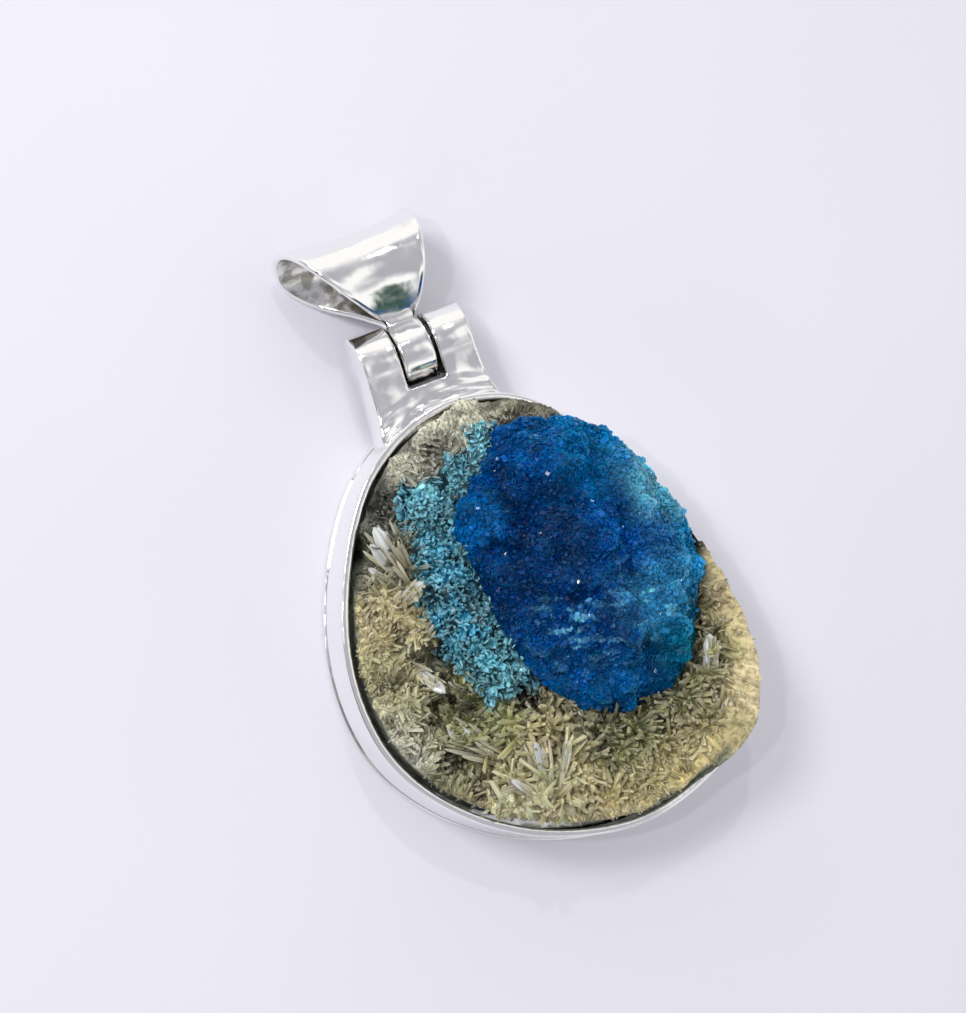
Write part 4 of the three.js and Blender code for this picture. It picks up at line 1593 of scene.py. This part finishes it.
@dataclass
class Cavansite:
    """The deep blue cluster with its velvet of small prisms."""

    tree: BedTree
    voxel: float = 0.26
    rounds: int = 40
    relief: Layers = ((0.5, 0.35, 5.0), (0.3, 0.85, 7.0), (0.14, 1.9, 7.0))
    swell: float = 0.05
    clouds: Layers = ((1.0, 0.6, 11.0), (0.4, 1.7, 12.0))
    zones: tuple[Zone, ...] = (
        Zone((2.6, 7.2), 3.4, (0.000, 0.013, 0.090)),
        Zone((-0.5, 2.6), 3.2, (0.000, 0.024, 0.135)),
        Zone((0.6, -3.2), 2.4, (0.000, 0.058, 0.260)),
        Zone((4.0, 14.0), 3.4, (0.000, 0.056, 0.260)),
        Zone((9.0, 12.0), 3.2, (0.000, 0.125, 0.370)),
        Zone((-3.3, 9.5), 2.2, (0.000, 0.090, 0.330)),
        # Painted light: the thin right edge is paler, as where light shines through it.
        Zone((12.5, 7.0), 2.2, (0.080, 0.400, 0.580)),
        Zone((8.5, 4.5), 3.0, (0.000, 0.058, 0.290)),
        Zone((13.0, -1.5), 2.4, (0.010, 0.210, 0.460)),
        Zone((4.5, -3.5), 2.0, (0.000, 0.022, 0.130)),
        Zone((9.5, -1.5), 2.2, (0.030, 0.220, 0.470)),
        Zone((5.5, -7.5), 2.8, (0.000, 0.066, 0.240)),
        Zone((10.5, -7.0), 2.4, (0.000, 0.140, 0.270)),
        Zone((1.5, -8.5), 2.4, (0.000, 0.090, 0.320)),
    )
    # Pale steps on the cluster, also painted as glints of light round these spots.
    pale_step_and_glint: Colour = (0.16, 0.56, 0.76)
    step_and_glint_spots: tuple[Pair, ...] = ((2.3, -2.0), (9.6, -1.8))
    streak_reach: float = 3.2
    streak_scales: tuple[float, float, float] = (0.6, 2.6, 0.6)

    def body(self) -> bpy.types.Mesh:
        """Makes the cluster's lobed body and paints it."""
        mesh, corners, normals = lumpy(
            "cavansite_cluster", self.voxel, self.rounds, self.relief, self.swell
        )
        colour, size = blended(self.zones, corners)
        patches = smoothstep(layered(corners, self.clouds), -0.4, 0.6)
        colour = colour * (0.75 + 0.75 * patches)[:, None]
        # Pale steps, partly painted glints.
        colour = colour + self.streaks(corners)[:, None] * np.array(self.pale_step_and_glint)
        cover = smoothstep(normals[:, 2], -0.7, -0.2) * smoothstep(corners[:, 2], 6.2, 7.0)
        size = size * (1.0 + 0.6 * noise_at(corners, 0.9, 21.0))
        paint_bed(mesh, colour, cover, size, np.zeros_like(corners))
        return mesh

    def streaks(self, corners: np.ndarray) -> np.ndarray:
        """Lays pale steps across the lower part of the cluster, which also stand in as painted glints
        round the listed spots.

        Args:
            corners: the body's corners.

        Returns:
            How much pale step and painted glint each corner gets.
        """
        cosine, sine = VIEW_RIGHT[0], -VIEW_RIGHT[1]
        across = cosine * corners[:, 0] - sine * corners[:, 1]
        up = sine * corners[:, 0] + cosine * corners[:, 1]
        drawn = np.column_stack([across, up, corners[:, 2]]) * np.array(self.streak_scales)
        spots = [
            np.exp(-((corners[:, :2] - np.array(spot)) ** 2).sum(axis=1) / self.streak_reach ** 2)
            for spot in self.step_and_glint_spots
        ]
        return smoothstep(noise_at(drawn, 1.0, 3.0), 0.18, 0.46) * np.maximum(*spots)

    def build(self) -> None:
        """Makes the cluster and its beds of prisms."""
        body = self.body()
        velvet = CrystalFinish(
            "cavansite_velvet", root=0.85, tip=(0.0, 0.24, 0.48), tip_share=0.1,
            clear=0.0, roughness=0.3, refraction=1.5,
            variety=(0.88, 1.16), shine=0.08, glow=0.9, glow_depth=0.7,
            relief=0.003, streaks=0.12,
        ).make()
        prisms = CrystalFinish(
            "cavansite_prisms", root=0.85, tip=(0.0, 0.30, 0.56), tip_share=0.12,
            clear=0.0, roughness=0.09, refraction=1.55,
            variety=(0.85, 1.4), shine=0.25, glow=0.6, relief=0.004, streaks=0.2,
        ).make()
        CrystalBed("cavansite_velvet", PRISMS, velvet, "cavansite", 5, Habit(
            spacing=0.23, lengths=(0.10, 0.24), widths=(0.26, 0.5), thinness=0.8,
            rosette_spacing=2.2, root_depth=1.4, wander=0.45, upright=0.6,
        )).grow(body, self.tree)
        CrystalBed("cavansite_points", PRISMS, prisms, "cavansite", 13, Habit(
            spacing=0.55, lengths=(0.2, 0.5), widths=(0.25, 0.6), thinness=0.7,
            rosette_spacing=2.2, root_depth=1.4, wander=0.8, upright=0.3,
        )).grow(body, self.tree)
        stone = BodyFinish(
            "cavansite_body", grain=3.2, relief=0.05, roughness=0.3, shine=0.15, glow=0.9
        ).make()
        Piece("cavansite_body", body, stone, "cavansite", stands_for=("cavansite_cluster",)).finish()


@dataclass
class Druse:
    """The pale crumbly growth beside the cluster."""

    tree: BedTree
    plates: bpy.types.Material
    voxel: float = 0.2
    rounds: int = 6
    relief: Layers = ((0.7, 0.7, 4.0), (0.4, 1.6, 4.0))
    swell: float = 0.1
    zones: tuple[Zone, ...] = (
        Zone((-6.0, 12.5), 2.4, (0.20, 0.62, 0.80)),
        Zone((-6.5, 7.5), 2.2, (0.03, 0.24, 0.38)),
        Zone((-6.5, 3.0), 2.4, (0.02, 0.20, 0.34)),
        Zone((-5.5, -1.0), 2.2, (0.04, 0.22, 0.30)),
        Zone((-4.8, -4.5), 2.0, (0.12, 0.36, 0.42)),
    )

    def build(self) -> None:
        """Makes the druse and its bed of plates."""
        mesh, corners, normals = lumpy(
            "cavansite_druse", self.voxel, self.rounds, self.relief, self.swell
        )
        colour, size = blended(self.zones, corners)
        cover = smoothstep(normals[:, 2], -0.6, -0.1) * smoothstep(corners[:, 2], 6.0, 6.8)
        patches = smoothstep(noise_at(corners, 0.7, 18.0), -0.35, 0.4)
        colour = colour * (0.35 + 1.3 * patches)[:, None]
        paint_bed(mesh, colour, cover, size, np.zeros_like(corners))
        CrystalBed("druse_plates", PLATES, self.plates, "pale_cavansite", 21, Habit(
            spacing=0.24, lengths=(0.25, 0.75), widths=(0.22, 0.6), thinness=0.4,
            rosette_spacing=1.2, root_depth=0.4, wander=1.0, upright=0.3,
        )).grow(mesh, self.tree)
        stone = BodyFinish("druse_body", grain=3.5, relief=0.1, roughness=0.4).make()
        Piece("druse_body", mesh, stone, "pale_cavansite", stands_for=("cavansite_druse",)).finish()


@dataclass(frozen=True)
class ClearBlade:
    """One clear blade that stands out of the face, from its root to its tip."""

    root: Pair
    tip: Pair
    lift: float
    width: float
    thick: float


@dataclass
class ClearBlades:
    """The few large clear blades of stilbite."""

    ground: bpy.types.Mesh
    blades: tuple[ClearBlade, ...] = (
        ClearBlade((-8.7, 6.6), (-10.5, 12.0), 1.9, 1.3, 0.5),
        ClearBlade((-8.0, 6.6), (-9.8, 11.4), 1.9, 0.9, 0.5),
        ClearBlade((-9.3, 6.5), (-11.2, 10.8), 1.6, 0.9, 0.5),
        ClearBlade((-9.9, 6.2), (-12.0, 9.0), 1.3, 0.7, 0.4),
        ClearBlade((-11.6, 5.0), (-8.2, 6.3), 1.4, 1.0, 0.6),
        ClearBlade((-9.8, 1.2), (-7.9, 3.2), 1.5, 1.0, 0.6),
        ClearBlade((-11.6, 0.6), (-9.8, -3.0), 1.6, 1.1, 0.6),
        ClearBlade((-6.4, -10.4), (-10.8, -5.8), 1.3, 1.5, 0.6),
        ClearBlade((11.5, -10.6), (12.7, -6.6), 1.1, 1.1, 0.7),
        ClearBlade((-4.8, -15.0), (-4.6, -9.4), 1.0, 0.8, 0.4),
        ClearBlade((-4.6, -15.2), (-1.8, -10.4), 1.0, 0.7, 0.4),
        ClearBlade((-5.0, -15.0), (-7.6, -11.6), 1.0, 0.7, 0.4),
    )
    root_depth: float = 0.7
    spread: float = 0.26
    clear_colour: Colour = (0.84, 0.87, 0.84)
    slender_colour: Colour = (0.76, 0.69, 0.46)
    random: np.random.Generator = field(default_factory=lambda: np.random.default_rng(17))
    sections: tuple[tuple[float, float, float], ...] = (
        (0.0, 0.75, 0.8), (0.3, 0.95, 1.0), (0.8, 1.0, 0.95), (0.94, 0.6, 0.7), (1.0, 0.06, 0.3),
    )
    ring: tuple[Pair, ...] = (
        (1.0, 0.0), (0.82, 0.42), (0.0, 0.5), (-0.8, 0.42),
        (-1.0, 0.0), (-0.8, -0.42), (0.0, -0.5), (0.8, -0.42),
    )

    def height(self, tree: BVHTree, place: Pair) -> float:
        """Finds the height of the face under a place."""
        hit = tree.ray_cast(Vector((*place, 40.0)), Vector((0.0, 0.0, -1.0)))[0]
        return hit.z if hit else 8.0

    def loops(self, tree: BVHTree, blade: ClearBlade) -> np.ndarray:
        """Draws a blade's sections.

        Args:
            tree: the face, to stand the blade on.
            blade: the blade.

        Returns:
            Its loops, from the root to the tip.
        """
        low, high = self.height(tree, blade.root), self.height(tree, blade.tip)
        root = np.array([*blade.root, low - self.root_depth])
        tip = np.array([*blade.tip, max(low, high) + blade.lift])
        axis = (tip - root) / np.linalg.norm(tip - root)
        across = np.cross(axis, [0.0, 0.0, 1.0])
        across /= np.linalg.norm(across)
        out = np.cross(across, axis)
        loops = []
        for share, wide, deep in self.sections:
            middle = root + share * (tip - root)
            side = across * (wide * blade.width / 2)
            face = out * (deep * blade.thick)
            loops.append([middle + a * side + b * face for a, b in self.ring])
        return np.array(loops)

    def companions(self, blade: ClearBlade) -> list[ClearBlade]:
        """Spreads slender blades round a large one, as a sheaf.

        Args:
            blade: the large blade.

        Returns:
            The slender blades.
        """
        root, tip = np.array(blade.root), np.array(blade.tip)
        along = tip - root
        length = np.linalg.norm(along)
        heading = math.atan2(along[1], along[0])
        slender = []
        for _ in range(max(4, round(3.0 * length))):
            turn = heading + self.random.uniform(-self.spread, self.spread)
            reach = length * self.random.uniform(0.45, 1.05)
            start = root + self.random.uniform(-0.35, 0.35, 2) * blade.width
            end = start + reach * np.array([math.cos(turn), math.sin(turn)])
            width = self.random.uniform(0.18, 0.45)
            lift = blade.lift * self.random.uniform(0.3, 0.9)
            slender.append(ClearBlade(tuple(start), tuple(end), lift, width, 0.6 * width))
        return slender

    def joined(self, tree: BVHTree, blades: list[ClearBlade], ground: Colour) -> bpy.types.Mesh:
        """Joins blades into one mesh.

        Args:
            tree: the face that they stand on.
            blades: the blades.
            ground: their colour.

        Returns:
            The painted mesh.
        """
        shape = bmesh.new()
        for blade in blades:
            shape.from_mesh(skin(self.loops(tree, blade), ring=False))
        mesh = bpy.data.meshes.new("blades")
        shape.to_mesh(mesh)
        shape.free()
        spots = [(a, b, share) for share, _, _ in self.sections for a, b in self.ring]
        ends = [(0.0, 0.0, 0.0), (0.0, 0.0, 1.0)]
        spots = np.tile(spots + ends, (len(blades), 1))
        paint(mesh, "ground", np.tile([*ground, 1.0], (len(spots), 1)))
        paint(mesh, "along", spots[:, 2])
        paint(mesh, "fibre", spots * np.array([0.5, 0.5, 0.12]))
        tints = self.random.uniform(0.0, 1.0, len(blades))
        paint(mesh, "tint", np.repeat(tints, len(spots) // len(blades)))
        return mesh

    def build(self) -> None:
        """Makes the large clear blades and the sheaves of slender ones."""
        tree = search_tree(self.ground)
        clear = CrystalFinish(
            "clear_stilbite", root=0.7, tip=(0.95, 0.96, 0.94), tip_share=0.3,
            clear=0.2, roughness=0.08, refraction=1.5,
            variety=(0.85, 1.1), shine=0.9, streaks=0.4, relief=0.06,
        ).make()
        slender = CrystalFinish(
            "slender_stilbite", root=0.45, tip=(0.92, 0.89, 0.74), tip_share=0.4,
            clear=0.25, roughness=0.1, refraction=1.5,
            variety=(0.55, 1.25), shine=0.8, streaks=0.4, relief=0.05,
        ).make()
        large = self.joined(tree, list(self.blades), self.clear_colour)
        Piece("clear_blades", large, clear, "stilbite", shading=Shading.FLAT).finish()
        many = [one for blade in self.blades for one in self.companions(blade)]
        small = self.joined(tree, many, self.slender_colour)
        Piece("slender_blades", small, slender, "stilbite", shading=Shading.FLAT).finish()


# The room

@dataclass
class Studio:
    """The floor, the light and the camera."""

    focus: Vector = field(default_factory=lambda: Vector((0.0, 0.0, 7.0)) * MM)
    tilt: float = math.radians(13.0)
    distance: float = 0.220
    lens: float = 96.7
    right: Pair = VIEW_RIGHT
    aim_right: float = 4.32 * MM
    aim_up: float = 9.41 * MM
    floor_side: float = 3.0
    lamps: tuple[tuple[str, Colour, float, float], ...] = (
        ("key", (-0.25, 0.30, 0.45), 0.16, 1.3),
        ("spark_left", (-0.20, 0.10, 0.42), 0.016, 0.20),
        ("spark_right", (0.05, 0.30, 0.40), 0.016, 0.20),
    )
    daylight: float = 0.76
    cloud_scale: float = 1.3
    cloud_range: Pair = (0.44, 0.58)
    cloud_shade: Colour = (0.60, 0.60, 0.66)
    cloud_light: Colour = (1.38, 1.38, 1.36)
    side_shade: Colour = (0.06, 0.12, 0.10)
    dark_sides: tuple[tuple[Colour, float, float], ...] = (
        ((0.22, -0.91, 0.34), 0.975, 0.988), ((-0.74, -0.10, 0.66), 0.95, 0.975),
    )

    def camera(self) -> None:
        """Sets the camera at the photograph's angle."""
        back = Vector((-math.sin(self.tilt), 0.0, math.cos(self.tilt)))
        across = Vector((*self.right, 0.0))
        across = (across - back * across.dot(back)).normalized()
        up = back.cross(across)
        turn = Matrix((across, up, back)).transposed().to_4x4()
        data = bpy.data.cameras.new("camera")
        data.sensor_fit = "HORIZONTAL"
        data.lens = self.lens
        data.clip_start = 0.01
        thing = bpy.data.objects.new("camera", data)
        target = self.focus - across * self.aim_right + up * self.aim_up
        thing.matrix_world = Matrix.Translation(target + back * self.distance) @ turn
        bpy.context.scene.collection.objects.link(thing)
        bpy.context.scene.camera = thing

    def floor(self) -> None:
        """Lays the floor under the pendant."""
        half = self.floor_side / 2
        corners = [(-half, -half, 0.0), (half, -half, 0.0), (half, half, 0.0), (-half, half, 0.0)]
        mesh = bpy.data.meshes.new("floor")
        mesh.from_pydata(corners, [], [(0, 1, 2, 3)])
        mesh.materials.append(FloorFinish().make())
        thing = bpy.data.objects.new("floor", mesh)
        bpy.context.scene.collection.objects.link(thing)

    def softbox(self, name: str, at: tuple, size: float, power: float) -> None:
        """Hangs a soft square light that faces the pendant.

        Args:
            name: the light's name.
            at: its place in metres.
            size: its side in metres.
            power: its power in watts.
        """
        data = bpy.data.lights.new(name, "AREA")
        data.size = size
        data.energy = power
        thing = bpy.data.objects.new(name, data)
        place = Vector(at)
        thing.location = place
        thing.rotation_euler = (self.focus - place).to_track_quat("-Z", "Y").to_euler()
        bpy.context.scene.collection.objects.link(thing)

    def sky(self) -> None:
        """Surrounds the pendant with a white room, dark on two sides for the silver to mirror."""
        world = bpy.data.worlds.new("room")
        bpy.context.scene.world = world
        world.use_nodes = True
        tree = NodeTree(world.node_tree)
        direction = tree.out("ShaderNodeTexCoord", result="Generated")
        values = {"Vector": direction, "Scale": self.cloud_scale, "Detail": 1.0}
        clouds = tree.out("ShaderNodeTexNoise", values)
        low, high = self.cloud_range
        grey = tree.out("ShaderNodeMapRange", {"Value": clouds, "From Min": low, "From Max": high})
        shades = []
        for towards, near, nearer in self.dark_sides:
            facing = tree.out(
                "ShaderNodeVectorMath", {0: direction, 1: towards}, "Value", operation="DOT_PRODUCT"
            )
            values = {"Value": facing, "From Min": near, "From Max": nearer}
            shades.append(tree.out("ShaderNodeMapRange", values))
        dark = tree.out("ShaderNodeMath", {0: shades[0], 1: shades[1]}, operation="MAXIMUM")
        soft = tree.out("ShaderNodeMix", {
            "Factor_Float": grey,
            "A_Color": (*self.cloud_shade, 1.0),
            "B_Color": (*self.cloud_light, 1.0),
        }, "Result_Color", data_type="RGBA")
        colour = tree.out("ShaderNodeMix", {
            "Factor_Float": dark, "A_Color": soft, "B_Color": (*self.side_shade, 1.0),
        }, "Result_Color", data_type="RGBA")
        shader = tree.out("ShaderNodeBackground", {"Color": colour, "Strength": self.daylight})
        tree.add("ShaderNodeOutputWorld", {"Surface": shader})

    def build(self) -> None:
        """Sets up the room."""
        self.camera()
        self.floor()
        for lamp in self.lamps:
            self.softbox(*lamp)
        self.sky()
        bpy.context.scene.view_settings.view_transform = "Standard"


def main() -> None:
    """Builds the pendant and the room round it."""
    logging.basicConfig(level=logging.INFO, format="%(message)s")
    silver = SilverFinish().make()
    cup = Cup(silver)
    cup.build()
    Hinge(silver, cup).build()
    Bail(silver).build()
    tree = BedTree()
    plates = CrystalFinish(
        "druse_plates", root=0.1, tip=(0.40, 0.90, 0.98), tip_share=0.55,
        clear=0.1, roughness=0.2, refraction=1.53,
        variety=(0.4, 2.1), glow=0.3, streaks=0.3,
    ).make()
    ground = Stilbite(tree, cup.outline, plates).build()
    ClearBlades(ground).build()
    Cavansite(tree).build()
    Druse(tree, plates).build()
    Studio().build()


if __name__ == "__main__":
    main()
